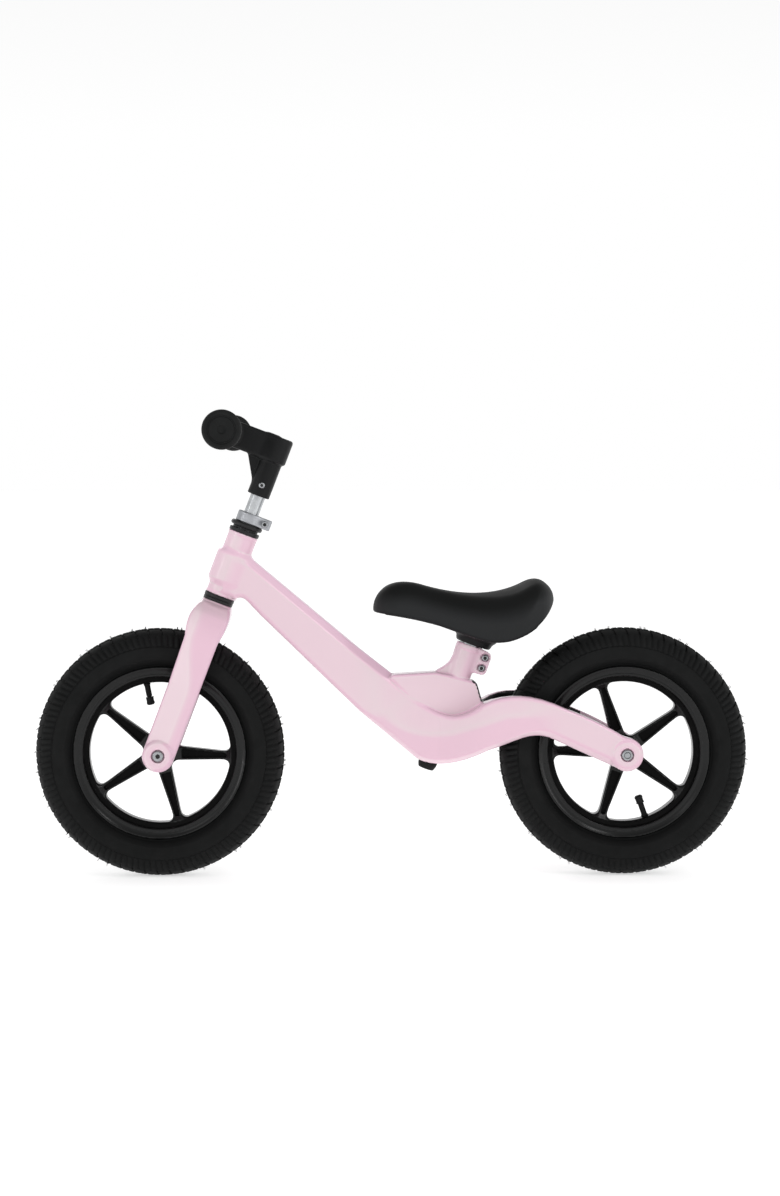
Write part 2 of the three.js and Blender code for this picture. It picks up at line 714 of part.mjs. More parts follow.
function stemCrossNut() {
  const face = COLLAR_RADIUS + GAP;
  return spot(hexNut(M5_NUT_RADIUS, M5_HOLE, face, face + 4), 0, CROSS_BOLT_HEIGHT);
}

function handlebarTube() {
  const tube = sleeve(BAR_BORE, BAR_RADIUS, -BAR_HALF_LENGTH, BAR_HALF_LENGTH);
  return spot(across(tube), BAR_X, BAR_HEIGHT);
}

function grip(side) {
  const bore = BAR_RADIUS + GAP;
  const profile = [[bore, GRIP_INNER_END], [19, GRIP_INNER_END], [19.5, 102], [15, 106],
    [15.8, 150], [15, 184], [20, 188], [23.5, 192], [23.5, 199], [20, GRIP_OUTER_END],
    [0, GRIP_OUTER_END], [0, BAR_HALF_LENGTH + GAP], [bore, BAR_HALF_LENGTH + GAP],
    [bore, GRIP_INNER_END]];
  const body = turned(profile.map(([r, z]) => [r, side * z]), ROUND_STEPS);
  return spot(across(body), BAR_X, BAR_HEIGHT);
}

// ---- Assembly ----

function piece(name, geometry, material) {
  const mesh = new THREE.Mesh(toGeometry(toSolid(geometry)), material);
  mesh.name = name;
  return mesh;
}

function groupAt(axes, ...children) {
  const group = new THREE.Group();
  group.applyMatrix4(axes);
  return group.add(...children);
}

const LEFT = -1;
const RIGHT = 1;
const SIDES = [["left", LEFT], ["right", RIGHT]];

function wheel(end, spokeAngle, valveAngle) {
  return [
    piece(`${end}_tyre`, tyre(), TYRE_RUBBER),
    piece(`${end}_rim`, rim(spokeAngle, valveAngle), RIM_PLASTIC),
    piece(`${end}_inner_tube`, innerTube(valveAngle), BUTYL),
    piece(`${end}_valve_cap`, valveCap(valveAngle), MOULDED_PLASTIC),
    piece(`${end}_bearing_sleeve`, bearingSleeve(), STEEL),
    ...SIDES.map(([name, side]) => piece(`${end}_bearing_${name}`, bearing(side), STEEL)),
  ];
}

function frameGroup() {
  const headset = groupAt(
    STEERING_AXES,
    piece("upper_headset_cup", headsetCup(UPPER_CUP_RIM, -1), BLACK_METAL),
    piece("lower_headset_cup", headsetCup(LOWER_CUP_RIM, 1), BLACK_METAL),
    piece("upper_ball_ring", ballRing(UPPER_CUP_RIM - 1.8), STEEL),
    piece("lower_ball_ring", ballRing(LOWER_CUP_RIM + 1.8), STEEL),
  );
  const seatTube = groupAt(SEAT_AXES, piece("seat_tube_plug", seatTubePlug(), GRIP_RUBBER));
  for (const [name, height] of Object.entries(SEAT_BOLT_HEIGHTS)) {
    seatTube.add(piece(`seat_clamp_bolt_${name}`, seatClampBolt(height), STEEL));
    seatTube.add(piece(`seat_clamp_nut_${name}`, seatClampNut(height), STEEL));
  }
  return [piece("frame_casting", frameCasting(), PAINT), headset, seatTube];
}

function rearWheelGroup() {
  return groupAt(
    new THREE.Matrix4().setPosition(REAR_HUB.x, REAR_HUB.y, 0),
    piece("rear_axle", rearAxle(), STEEL),
    ...SIDES.map(([name, side]) => piece(`rear_axle_nut_${name}`, rearAxleNut(side), STEEL)),
    ...SIDES.map(([name, side]) => piece(`rear_axle_spacer_${name}`, axleSpacer(side), STEEL)),
    ...wheel("rear", REAR_SPOKE_ANGLE, REAR_VALVE_ANGLE),
  );
}

function frontWheelGroup() {
  return groupAt(
    new THREE.Matrix4().setPosition(FRONT_HUB.x, FRONT_HUB.y, 0),
    ...wheel("front", FRONT_SPOKE_ANGLE, FRONT_VALVE_ANGLE),
  );
}

function saddleGroup() {
  return [
    piece("saddle_pad", saddlePad(), SADDLE_SKIN),
    groupAt(
      SEAT_AXES,
      piece("saddle_base", saddleBase(), MOULDED_PLASTIC),
      piece("seat_post", seatPost(), ALUMINIUM),
    ),
  ];
}

function steeringGroup() {
  const race = sleeve(STEERER_RADIUS + 0.4, 18.9, CROWN_TOP + GAP, LOWER_CUP_RIM - 0.4);
  const cone = sleeve(STEERER_RADIUS + 0.4, 15.9, UPPER_CUP_RIM + GAP, SPACER_BOTTOM - GAP);
  return groupAt(
    STEERING_AXES,
    piece("fork_casting", forkCasting(), PAINT),
    piece("steerer_tube", steererTube(), STEEL),
    piece("crown_race", race, BLACK_METAL),
    piece("upper_cone", cone, BLACK_METAL),
    piece("front_axle", frontAxle(), STEEL),
    piece("front_axle_nut", frontAxleNut(), STEEL),
    ...SIDES.map(([name, side]) => piece(`front_axle_spacer_${name}`, axleSpacer(side), STEEL)),
    piece("headset_spacer", headsetSpacer(), BLACK_METAL),
    piece("stem_clamp", stemClamp(), ALUMINIUM),
    piece("stem_clamp_bolt", stemClampBolt(), STEEL),
    piece("stem_clamp_nut", stemClampNut(), STEEL),
    piece("stem_body", stemBody(), MOULDED_PLASTIC),
    piece("stem_tube", stemTube(), ALUMINIUM),
    piece("stem_cross_bolt", stemCrossBolt(), STEEL),
    piece("stem_cross_nut", stemCrossNut(), STEEL),
    piece("handlebar_tube", handlebarTube(), BLACK_METAL),
    ...SIDES.map(([name, side]) => piece(`grip_${name}`, grip(side), GRIP_RUBBER)),
  );
}

const bike = new THREE.Group();
bike.add(
  ...frameGroup(),
  rearWheelGroup(),
  ...saddleGroup(),
  steeringGroup(),
  frontWheelGroup(),
);
bike.rotation.x = Math.PI / 2;

export default bike;
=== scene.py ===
"""The looks of a child's balance bike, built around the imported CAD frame.

Shapes are drawn in millimetres: +X forward, +Y to the rider's left, +Z up. Cast and moulded
pieces are meshed from signed distance fields, and turned pieces are lathed. A field is negative
inside its piece.
"""

import json
from math import cos, degrees, pi, radians, sin, sqrt

import bpy
import numpy as np
from mathutils import Matrix, Vector

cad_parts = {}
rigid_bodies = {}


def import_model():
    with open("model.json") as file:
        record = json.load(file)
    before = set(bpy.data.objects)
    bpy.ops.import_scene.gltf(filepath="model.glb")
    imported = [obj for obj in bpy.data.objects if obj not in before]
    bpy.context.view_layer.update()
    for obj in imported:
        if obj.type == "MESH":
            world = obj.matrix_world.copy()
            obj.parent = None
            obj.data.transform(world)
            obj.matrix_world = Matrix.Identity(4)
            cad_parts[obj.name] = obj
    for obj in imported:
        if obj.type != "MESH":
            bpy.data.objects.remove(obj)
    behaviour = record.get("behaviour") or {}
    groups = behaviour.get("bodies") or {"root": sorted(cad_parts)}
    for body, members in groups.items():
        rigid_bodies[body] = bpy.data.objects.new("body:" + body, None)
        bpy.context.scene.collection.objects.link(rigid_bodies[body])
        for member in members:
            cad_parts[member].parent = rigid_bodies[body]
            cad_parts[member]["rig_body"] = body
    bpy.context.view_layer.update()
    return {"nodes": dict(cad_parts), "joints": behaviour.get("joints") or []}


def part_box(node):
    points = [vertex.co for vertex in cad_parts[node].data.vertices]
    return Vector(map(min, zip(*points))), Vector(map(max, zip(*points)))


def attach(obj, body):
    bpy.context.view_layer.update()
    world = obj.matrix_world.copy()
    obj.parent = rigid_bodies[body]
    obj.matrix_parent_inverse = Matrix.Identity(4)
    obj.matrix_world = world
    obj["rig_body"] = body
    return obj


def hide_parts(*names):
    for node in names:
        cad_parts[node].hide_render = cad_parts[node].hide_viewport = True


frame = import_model()

MM = 0.001
DETAIL = 1.0


# ---- Places from the frame ----

JOINTS = {joint["name"]: joint for joint in frame["joints"]}


def in_mm(point):
    return np.array(point, float) / MM


class Axes:
    """Tilted axes in the centre plane: ahead, left and along, about an origin."""

    def __init__(self, origin, up):
        self.x, self.z = origin[0], origin[2]
        self.up_x, self.up_z = up[0], up[2]

    def local(self, x, z):
        dx, dz = x - self.x, z - self.z
        return dx * self.up_z - dz * self.up_x, dx * self.up_x + dz * self.up_z

    def matrix(self):
        return Matrix((
            (self.up_z, 0, self.up_x, self.x * MM),
            (0, 1, 0, 0),
            (-self.up_x, 0, self.up_z, self.z * MM),
            (0, 0, 0, 1),
        ))


FRONT_HUB = in_mm(JOINTS["front_wheel_spin"]["pos_m"])
REAR_HUB = in_mm(JOINTS["rear_wheel_spin"]["pos_m"])
STEERING = Axes(FRONT_HUB, JOINTS["steering"]["axis"])

SEAT_BOLT_AHEAD = -23.0
SEAT_BOLT_HEIGHTS = {"upper": -8.8, "lower": -22.2}


def seat_axes():
    """The seat tube's axes, about the middle of its rim, found from its upper clamp bolt."""
    up = JOINTS["saddle_height"]["axis"]
    low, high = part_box("seat_clamp_bolt_upper")
    bolt = in_mm((low + high) / 2)
    ahead, along = SEAT_BOLT_AHEAD, SEAT_BOLT_HEIGHTS["upper"]
    x = bolt[0] - ahead * up[2] - along * up[0]
    z = bolt[2] + ahead * up[0] - along * up[2]
    return Axes((x, 0, z), up)


SEAT = seat_axes()

# Turns a lathed piece, whose axis is its third one, so that its axis lies along +Y.
ACROSS = Matrix(((1, 0, 0, 0), (0, 0, 1, 0), (0, -1, 0, 0), (0, 0, 0, 1)))


def at(point_mm):
    return Matrix.Translation(Vector(point_mm) * MM)


# ---- Distances ----

def meet(a, b, radius):
    """Where two fields overlap, with an outer edge of that radius."""
    inner = np.minimum(-radius, np.maximum(a, b))
    return inner + np.hypot(np.maximum(a + radius, 0), np.maximum(b + radius, 0))


def fuse(a, b, radius):
    """Both fields together, with a hollow fillet of that radius between them."""
    outer = np.maximum(radius, np.minimum(a, b))
    return outer - np.hypot(np.maximum(radius - a, 0), np.maximum(radius - b, 0))


def cut(body, hole, radius=0.5):
    return meet(body, -hole, radius)


def chamfer(a, b, size):
    """The slanted plane that takes size off the edge between two faces."""
    return (a + b + size) / sqrt(2)


def between(value, low, high):
    return np.maximum(low - value, value - high)


def ease(t):
    t = np.clip(t, 0, 1)
    return t * t * (3 - 2 * t)


def hexagon(a, b, radius):
    """Distance to a hexagon whose corners are at that radius."""
    a, b = np.abs(a), np.abs(b)
    flat = radius * sqrt(3) / 2
    return np.maximum(b, a * sqrt(3) / 2 + b / 2) - flat


def trace(start, *legs, steps=8):
    """Points of a line: a leg of two numbers is straight, one of four bends by its first point."""
    points = [np.array(start, float)]
    for leg in legs:
        if len(leg) == 2:
            points.append(np.array(leg, float))
            continue
        begin, bend, end = points[-1], np.array(leg[:2], float), np.array(leg[2:], float)
        for i in range(1, steps + 1):
            t = i / steps
            points.append((1 - t) ** 2 * begin + 2 * t * (1 - t) * bend + t * t * end)
    return np.array(points)


def beside(line, x, z):
    """Distance from a line, positive on its left. Its first and last legs have no end."""
    nearest, side = np.inf, 1.0
    last = len(line) - 2
    for i, (a, b) in enumerate(zip(line, line[1:])):
        leg = b - a
        wx, wz = x - a[0], z - a[1]
        t = (wx * leg[0] + wz * leg[1]) / (leg @ leg)
        t = np.clip(t, -np.inf if i == 0 else 0, np.inf if i == last else 1)
        gap = (wx - t * leg[0]) ** 2 + (wz - t * leg[1]) ** 2
        side = np.where(gap < nearest, leg[0] * wz - leg[1] * wx, side)
        nearest = np.minimum(nearest, gap)
    return np.sqrt(nearest) * np.sign(side)


def within(corners, x, z):
    """Distance to a closed outline, negative inside it."""
    nearest, inside = np.inf, False
    for a, b in zip(corners, np.roll(corners, -1, axis=0)):
        leg = b - a
        wx, wz = x - a[0], z - a[1]
        t = np.clip((wx * leg[0] + wz * leg[1]) / (leg @ leg), 0, 1)
        nearest = np.minimum(nearest, (wx - t * leg[0]) ** 2 + (wz - t * leg[1]) ** 2)
        if leg[1] != 0:
            crosses = ((a[1] > z) != (b[1] > z)) & (wx < leg[0] * wz / leg[1])
            inside = inside ^ crosses
    return np.where(inside, -1, 1) * np.sqrt(nearest)


# ---- Meshes from distance fields ----

CORNERS = np.array([(i, j, k) for i in (0, 1) for j in (0, 1) for k in (0, 1)])
CELL_EDGES = [(a, b) for a in range(8) for b in range(a + 1, 8)
              if np.abs(CORNERS[a] - CORNERS[b]).sum() == 1]


def corner_values(values, cells, corner):
    i, j, k = (cells + corner).T
    return values[i, j, k]


def net(values, low, step):
    """One point in each cell that the surface crosses, and one face for each crossed edge."""
    inside = values < 0
    shape = np.array(values.shape) - 1
    count = sum(
        inside[i:i + shape[0], j:j + shape[1], k:k + shape[2]].astype(np.int8)
        for i, j, k in CORNERS
    )
    crossed = (count > 0) & (count < 8)
    cells = np.argwhere(crossed)
    number = np.full(crossed.shape, -1)
    number[crossed] = np.arange(len(cells))
    total, crossings = np.zeros((len(cells), 3)), np.zeros((len(cells), 1))
    for a, b in CELL_EDGES:
        va = corner_values(values, cells, CORNERS[a])
        vb = corner_values(values, cells, CORNERS[b])
        found = (va < 0) != (vb < 0)
        t = np.where(found, va / np.where(found, va - vb, 1), 0)[:, None]
        point = CORNERS[a] + t * (CORNERS[b] - CORNERS[a])
        total += np.where(found[:, None], point, 0)
        crossings += found[:, None]
    points = np.array(low) + (cells + total / crossings) * step
    faces = []
    for axis in range(3):
        _, u, v = np.roll(np.eye(3, dtype=int), -axis, axis=0)
        ahead = np.roll(inside, -1, axis=axis)
        places = np.argwhere(inside != ahead)
        ok = (places[:, axis] < shape[axis]) & (places @ u > 0) & (places @ v > 0)
        ok &= (places @ u < shape @ u) & (places @ v < shape @ v)
        places = places[ok]
        ring = [places - u - v, places - v, places, places - u]
        quad = np.stack([number[tuple(p.T)] for p in ring], axis=1)
        leaving = inside[tuple(places.T)]
        faces.append(np.where(leaving[:, None], quad, quad[:, ::-1]))
    return points, np.concatenate(faces)


PROBES = np.array([(1, -1, -1), (-1, -1, 1), (-1, 1, -1), (1, 1, 1)])


def settle(field, points, step, rounds=3):
    """Moves points along the field's slope onto its surface."""
    reach = 0.15 * step
    for _ in range(rounds):
        probes = [field(*(points + reach * probe).T) for probe in PROBES]
        slope = sum(value[:, None] * probe for value, probe in zip(probes, PROBES))
        slope /= 4 * reach
        value = sum(probes) / 4
        steepness = np.maximum((slope ** 2).sum(1), 0.05)
        move = np.clip(value / steepness, -step, step)
        points = points - move[:, None] * slope
    return points


def relax(points, faces):
    """Each point half way to the middle of its neighbours."""
    pairs = np.concatenate([faces[:, [i, (i + 1) % 4]] for i in range(4)])
    count = np.bincount(pairs[:, 0], minlength=len(points))[:, None]
    middle = np.stack([
        np.bincount(pairs[:, 0], weights=points[pairs[:, 1], axis], minlength=len(points))
        for axis in range(3)
    ], axis=1)
    return (points + middle / count) / 2


def mesh_field(field, low, high, step):
    step = step * DETAIL
    low = np.array(low, float) - 1.5 * step
    x, y, z = (np.arange(a, b + 2 * step, step) for a, b in zip(low, high))
    values = field(x[:, None, None], y[None, :, None], z[None, None, :])
    values = np.broadcast_to(values, (len(x), len(y), len(z)))
    points, faces = net(values, low, step)
    points = settle(field, points, step)
    for _ in range(2):
        points = settle(field, relax(points, faces), step, rounds=2)
    return points, faces


# ---- Lathed meshes ----

def rounded(corners, radius, steps=4, closed=True):
    """The outline with its corners turned into bends. A corner's third number is its own radius."""
    points = []
    count = len(corners)
    for i, corner in enumerate(corners):
        here = np.array(corner[:2], float)
        size = corner[2] if len(corner) > 2 else radius
        on_axis = here[0] == 0
        if size == 0 or on_axis or (not closed and i in (0, count - 1)):
            points.append(here)
            continue
        before = np.array(corners[i - 1][:2], float) - here
        after = np.array(corners[(i + 1) % count][:2], float) - here
        size = min(size, 0.45 * np.linalg.norm(before), 0.45 * np.linalg.norm(after))
        begin = here + before / np.linalg.norm(before) * size
        end = here + after / np.linalg.norm(after) * size
        for k in range(steps + 1):
            t = k / steps
            points.append((1 - t) ** 2 * begin + 2 * t * (1 - t) * here + t * t * end)
    return np.array(points)


def lathe(profile, steps=72):
    """A solid of revolution about the third axis from a profile of radius and height."""
    rings, points = [], []
    for radius, height in profile:
        start = len(points)
        if radius < 1e-6:
            points.append((0, 0, height))
            rings.append([start] * steps)
            continue
        for i in range(steps):
            angle = 2 * pi * i / steps
            points.append((radius * cos(angle), radius * sin(angle), height))
        rings.append(list(range(start, start + steps)))
    faces = []
    for lower, upper in zip(rings, rings[1:] + rings[:1]):
        if lower[0] == lower[1] and upper[0] == upper[1]:
            continue
        for i in range(steps):
            j = (i + 1) % steps
            face = [lower[i], lower[j], upper[j], upper[i]]
            faces.append(tuple(dict.fromkeys(face)))
    return np.array(points), faces


# ---- Pieces ----

def signed_volume(mesh):
    mesh.calc_loop_triangles()
    return sum(
        mesh.vertices[a].co.dot(mesh.vertices[b].co.cross(mesh.vertices[c].co))
        for a, b, c in (t.vertices for t in mesh.loop_triangles)
    )


def make_mesh(name, points, faces, sharp=35):
    mesh = bpy.data.meshes.new(name)
    faces = faces.tolist() if isinstance(faces, np.ndarray) else faces
    mesh.from_pydata((np.asarray(points) * MM).tolist(), [], faces)
    mesh.validate()
    if signed_volume(mesh) < 0:
        mesh.flip_normals()
    mesh.shade_smooth()
    mesh.set_sharp_from_angle(angle=radians(sharp))
    return mesh


def repaint(mesh, material, chosen):
    """Gives a second material to the faces whose middle is chosen."""
    mesh.materials.append(material)
    middles = np.empty(3 * len(mesh.polygons))
    mesh.polygons.foreach_get("center", middles)
    x, y, z = middles.reshape(-1, 3).T / MM
    mesh.polygons.foreach_set("material_index", chosen(x, y, z).astype(np.int32))


def new_object(name, data):
    obj = bpy.data.objects.new(name, data)
    bpy.context.scene.collection.objects.link(obj)
    return obj


def place(name, mesh, slot, nodes, matrix=None, material=None):
    """Shows a mesh as one piece that stands for CAD nodes and rides on their body."""
    obj = new_object(name, mesh)
    if matrix is not None:
        obj.matrix_world = matrix
    if not mesh.materials:
        mesh.materials.append(material or FINISHES[slot])
    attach(obj, frame["nodes"][nodes[0]]["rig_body"])
    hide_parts(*nodes)
    return obj


def field_piece(name, slot, node, field, low, high, step, matrix=None, material=None, sharp=35):
    mesh = make_mesh(name, *mesh_field(field, low, high, step), sharp)
    return place(name, mesh, slot, [node], matrix, material)


def turned_piece(name, slot, node, profile, matrix, radius=0.4, steps=72, material=None):
    mesh = make_mesh(name, *lathe(rounded(profile, radius), steps))
    return place(name, mesh, slot, [node], matrix, material)


# ---- Materials ----

def add_node(tree, kind, **inputs):
    """A new node. Each input is a value, or the output that it is linked from."""
    node = tree.nodes.new(kind)
    for name, value in inputs.items():
        socket = node.inputs[name.replace("_", " ")]
        if isinstance(value, bpy.types.NodeSocket):
            tree.links.new(value, socket)
        else:
            socket.default_value = value
    return node


def set_stops(node, stops):
    """Colours of a ramp, as places of 0 to 1 and linear colours."""
    elements = node.color_ramp.elements
    while len(elements) < len(stops):
        elements.new(0.5)
    for element, (place, colour) in zip(elements, stops):
        element.position, element.color = place, (*colour, 1)


class Surface:
    """A node material in object coordinates, with helpers for its colour and relief."""

    def __init__(self, name, roughness, metallic=0.0, sockets=None):
        self.material = bpy.data.materials.new(name)
        self.material.use_nodes = True
        self.tree = self.material.node_tree
        self.shader = self.tree.nodes["Principled BSDF"]
        values = {"Roughness": roughness, "Metallic": metallic, **(sockets or {})}
        for socket, value in values.items():
            self.shader.inputs[socket].default_value = value
        self.coordinates = self.node("ShaderNodeTexCoord").outputs
        self.place = self.coordinates["Object"]
        self.height = None

    def node(self, kind, **inputs):
        return add_node(self.tree, kind, **inputs)

    def feed(self, socket, output):
        self.tree.links.new(output, self.shader.inputs[socket])
        return self

    def noise(self, scale, detail=3.0, stretch=None):
        vector = self.place
        if stretch:
            mapping = self.node("ShaderNodeMapping", Vector=vector, Scale=stretch)
            vector = mapping.outputs["Vector"]
        node = self.node("ShaderNodeTexNoise", Vector=vector, Scale=scale, Detail=detail)
        return node.outputs["Fac"]

    def cells(self, scale, feature="DISTANCE_TO_EDGE"):
        node = self.node("ShaderNodeTexVoronoi", Vector=self.place, Scale=scale)
        node.feature = feature
        return node.outputs["Distance"]

    def graded(self, factor, stops):
        """Colours the surface by a factor of 0 to 1. A stop is a place there and an sRGB colour."""
        node = self.node("ShaderNodeValToRGB", Fac=factor)
        set_stops(node, [(place, linear(*rgb)) for place, rgb in stops])
        return self.feed("Base Color", node.outputs["Color"])

    def mottled(self, dark, light, scale, detail=3.0):
        return self.graded(self.noise(scale, detail), [(0.35, dark), (0.65, light)])

    def paint_shade_by_facing(self, axis, stops):
        """Paints shade and highlight into the colour by how far the surface faces along an axis of
        the piece, from -1 to 1.
        """
        split = self.node("ShaderNodeSeparateXYZ", Vector=self.coordinates["Normal"])
        spread = self.node("ShaderNodeMapRange", Value=split.outputs[axis], From_Min=-1)
        return self.graded(spread.outputs["Result"], [((f + 1) / 2, rgb) for f, rgb in stops])

    def rough(self, factor, low, high):
        node = self.node("ShaderNodeMapRange", Value=factor, To_Min=low, To_Max=high)
        return self.feed("Roughness", node.outputs["Result"])

    def relief(self, factor, depth, strength=1.0):
        """Raises fine relief, in mm, on top of any that is there already."""
        node = self.node("ShaderNodeBump", Height=factor, Distance=depth * MM, Strength=strength)
        if self.height is not None:
            self.tree.links.new(self.height, node.inputs["Normal"])
        self.height = node.outputs["Normal"]
        return self.feed("Normal", self.height)


def linear(r, g, b):
    """An sRGB colour of 0 to 255 as Blender's linear values."""
    values = (c / 255 for c in (r, g, b))
    return tuple(c / 12.92 if c <= 0.04045 else ((c + 0.055) / 1.055) ** 2.4 for c in values)


# Painted shade and highlight: the enamel's tone shifts with the way a face looks, up or down on the
# frame, ahead or back on the fork, as light and shade would fall on it. Each stop is the normal's
# part along that axis, and the sRGB colour there.
FRAME_ENAMEL_PAINTED_SHADE = [
    (-1.0, (226, 186, 204)), (-0.75, (233, 206, 216)), (-0.45, (223, 184, 201)),
    (-0.10, (224, 188, 204)), (0.0, (225, 198, 208)), (0.12, (227, 205, 212)),
    (0.35, (238, 200, 217)), (0.65, (247, 207, 227)), (1.0, (236, 200, 216)),
]
# The fork's painted shade and highlight, by how far a face looks ahead or back.
FORK_ENAMEL_PAINTED_SHADE = [
    (-1.0, (214, 178, 196)), (-0.30, (221, 183, 201)), (-0.08, (225, 187, 204)),
    (0.0, (226, 197, 208)), (0.12, (230, 208, 215)), (0.6, (230, 196, 211)), (1.0, (228, 190, 207)),
]


def enamel(name, axis, stops):
    s = Surface(name, 0.38, sockets={"Coat Weight": 0.7, "Coat Roughness": 0.08})
    # The colour carries painted shade and highlight, set by the way each face looks.
    s.paint_shade_by_facing(axis, stops)
    s.rough(s.noise(30, 2), 0.34, 0.42)
    return s.relief(s.noise(420, 2), 0.02, 0.25).material


def black_enamel():
    s = Surface("black_enamel", 0.34, sockets={"Specular IOR Level": 0.3})
    s.mottled((22, 22, 23), (30, 30, 31), 60)
    return s.rough(s.noise(160), 0.28, 0.42).relief(s.noise(900, 2), 0.02, 0.3).material


def moulded_plastic(name, dark, light, low, high, gloss):
    s = Surface(name, 0.5, sockets={"Specular IOR Level": gloss})
    s.mottled(dark, light, 40)
    s.rough(s.noise(120), low, high)
    return s.relief(s.cells(1500, "F1"), 0.03, 0.35).material


def rubber(name, dark, light, grain, depth):
    s = Surface(name, 0.85, sockets={"Specular IOR Level": 0.18})
    s.mottled(dark, light, 25, 5)
    s.rough(s.noise(90, 4), 0.52, 0.80)
    return s.relief(s.noise(grain, 4), depth, 0.6).material


# Painted shade on the saddle's skin, by how far a face looks up. Each stop is the normal's upward
# part and the sRGB colour there.
SKIN_PAINTED_SHADE = [
    (-1.0, (20, 20, 21)), (-0.3, (31, 32, 33)), (0.0, (38, 39, 40)), (0.2, (34, 35, 36)),
    (0.55, (19, 20, 20)), (1.0, (10, 11, 11)),
]


def foam_skin_painted_shade():
    """The saddle's moulded skin: a fine pebbled grain under a dull sheen, with painted shade, darkest
    on top and lightest on the sides.
    """
    s = Surface("saddle_skin", 0.58, sockets={"Specular IOR Level": 0.12})
    s.paint_shade_by_facing("Z", SKIN_PAINTED_SHADE)
    s.rough(s.noise(60, 3), 0.50, 0.62)
    s.relief(s.cells(1100), 0.05, 0.35)
    return s.relief(s.noise(30, 2), 0.15, 0.25).material


def bright_steel():
    s = Surface("bright_steel", 0.2, 1.0)
    s.mottled((150, 152, 155), (170, 173, 175), 90)
    return s.rough(s.noise(300, 2, (1, 1, 0.05)), 0.14, 0.26).material


def satin_aluminium():
    s = Surface("satin_aluminium", 0.38, 1.0)
    s.mottled((158, 160, 164), (176, 178, 182), 120)
    s.rough(s.noise(400, 2, (1, 1, 0.04)), 0.30, 0.44)
    return s.relief(s.noise(2200, 2), 0.02, 0.3).material


def drawn_aluminium():
    s = Surface("drawn_aluminium", 0.3, 1.0)
    s.mottled((176, 178, 181), (196, 199, 201), 120)
    s.rough(s.noise(500, 2, (1, 1, 0.03)), 0.22, 0.38)
    return s.relief(s.noise(1800, 2, (1, 1, 0.02)), 0.02, 0.4).material


FINISHES = {
    "paint": enamel("frame_enamel_painted_shade", "Z", FRAME_ENAMEL_PAINTED_SHADE),
    "black_metal": black_enamel(),
    "steel": bright_steel(),
    "aluminium": drawn_aluminium(),
    "rim_plastic": moulded_plastic("rim_plastic", (3, 4, 4), (6, 7, 7), 0.18, 0.26, 0.30),
    "moulded_plastic": moulded_plastic("moulded_plastic", (10, 11, 12), (15, 16, 17), 0.40, 0.52,
                                       0.2),
    "tyre": rubber("tyre_rubber", (5, 6, 6), (10, 11, 11), 1400, 0.06),
    "butyl": rubber("butyl", (9, 9, 10), (14, 14, 15), 700, 0.03),
    "grip_rubber": rubber("grip_rubber", (16, 17, 17), (23, 24, 24), 1800, 0.05),
    "saddle_skin": foam_skin_painted_shade(),
}
SATIN = satin_aluminium()
FORK_PAINT = enamel("fork_enamel_painted_shade", "X", FORK_ENAMEL_PAINTED_SHADE)
# A darker, duller copy of the rim plastic for the rim's recesses: painted shade, with a rougher
# finish.
MATT_PLASTIC_PAINTED_SHADE = moulded_plastic("matt_rim_plastic_painted_shade", (2, 2, 2), (5, 5, 5), 0.55, 0.7, 0.1)
# A black stand-in for shade, painted into the frame's wheel slot and the screws' sockets.
SHADOW_BLACK = moulded_plastic("shadow_black", (9, 9, 10), (14, 14, 15), 0.3, 0.45, 0.4)


# ---- Frame casting ----

HUB_REACH = 20.3  # radius of a stay's round end
WHEEL_GAP = 37.0  # half the space between the stays and between the fork's blades
HUB_HALF_WIDTH = 30.0  # of a wheel's hub
ARM_OUTER = 54.0  # from the centre plane to the outer face of a stay or a blade
BOSS_FACE = 56.5
YOKE_CENTRE = -151.5  # of the slot's round front end
# where the black painted shade along the slot's walls ends, at the back
PAINTED_SHADE_SLOT_END = -238.0
GUSSET_BACK, GUSSET_BACK_HEIGHTS = -99.0, (200.0, 243.0)
SLOT_TOP = 250.0  # above the stays and below the seat clamp

BEAM_TOP = trace(
    (-297, 172), (-282, 177.5), (-256, 194, -212, 211), (-153, 239, -111, 216),
    (-95, 202, -77, 200), (-55, 199, -29, 223), (-1, 250), (40, 282), (175, 395), (192, 404),
)
BEAM_UNDER = trace(
    (200, 347), (194, 343.5), (186, 350, 176.5, 339), (162, 323.5), (40, 205), (-31, 145.5),
    (-62, 129, -116, 157.5), (-159, 174), (-181, 181, -198, 172.5), (-279.2, 135.5),
)
BEAM_HALF_WIDTHS = trace(
    (-330, 54), (-135, 54), (-117, 54, -96, 45), (-78, 37, -58, 30), (-30, 24, 10, 22),
    (120, 21), (215, 20),
)
BEND_RIDGE = trace((60, 205), (10, 200), (-20, 168, -75, 178), (-140, 200), (-200, 205))
GUSSET = np.array([
    (4, 246), (-1, 250.5), (-53, 253.5), (-70, 250), (-101, 242), (-105, 239), (-107, 233),
    (-113, 212), (-100, 196), (-40, 200),
], float)
GUSSET_HALF_WIDTH = 17.0
FRONT_WEB = np.array([
    (-48, 246), (-54, 254.5), (-64.3, 260.4), (-73.4, 267.2), (-77.8, 273.2), (-80.2, 283.7),
    (-90, 280), (-85, 240),
], float)
EAR_OUTLINE = np.array([
    (-10, 0.5), (-25, -1.2), (-28.5, -2.6), (-30.5, -6), (-30.5, -25), (-29, -28.8),
    (-26, -30.5), (-16, -31), (-10, -34),
], float)

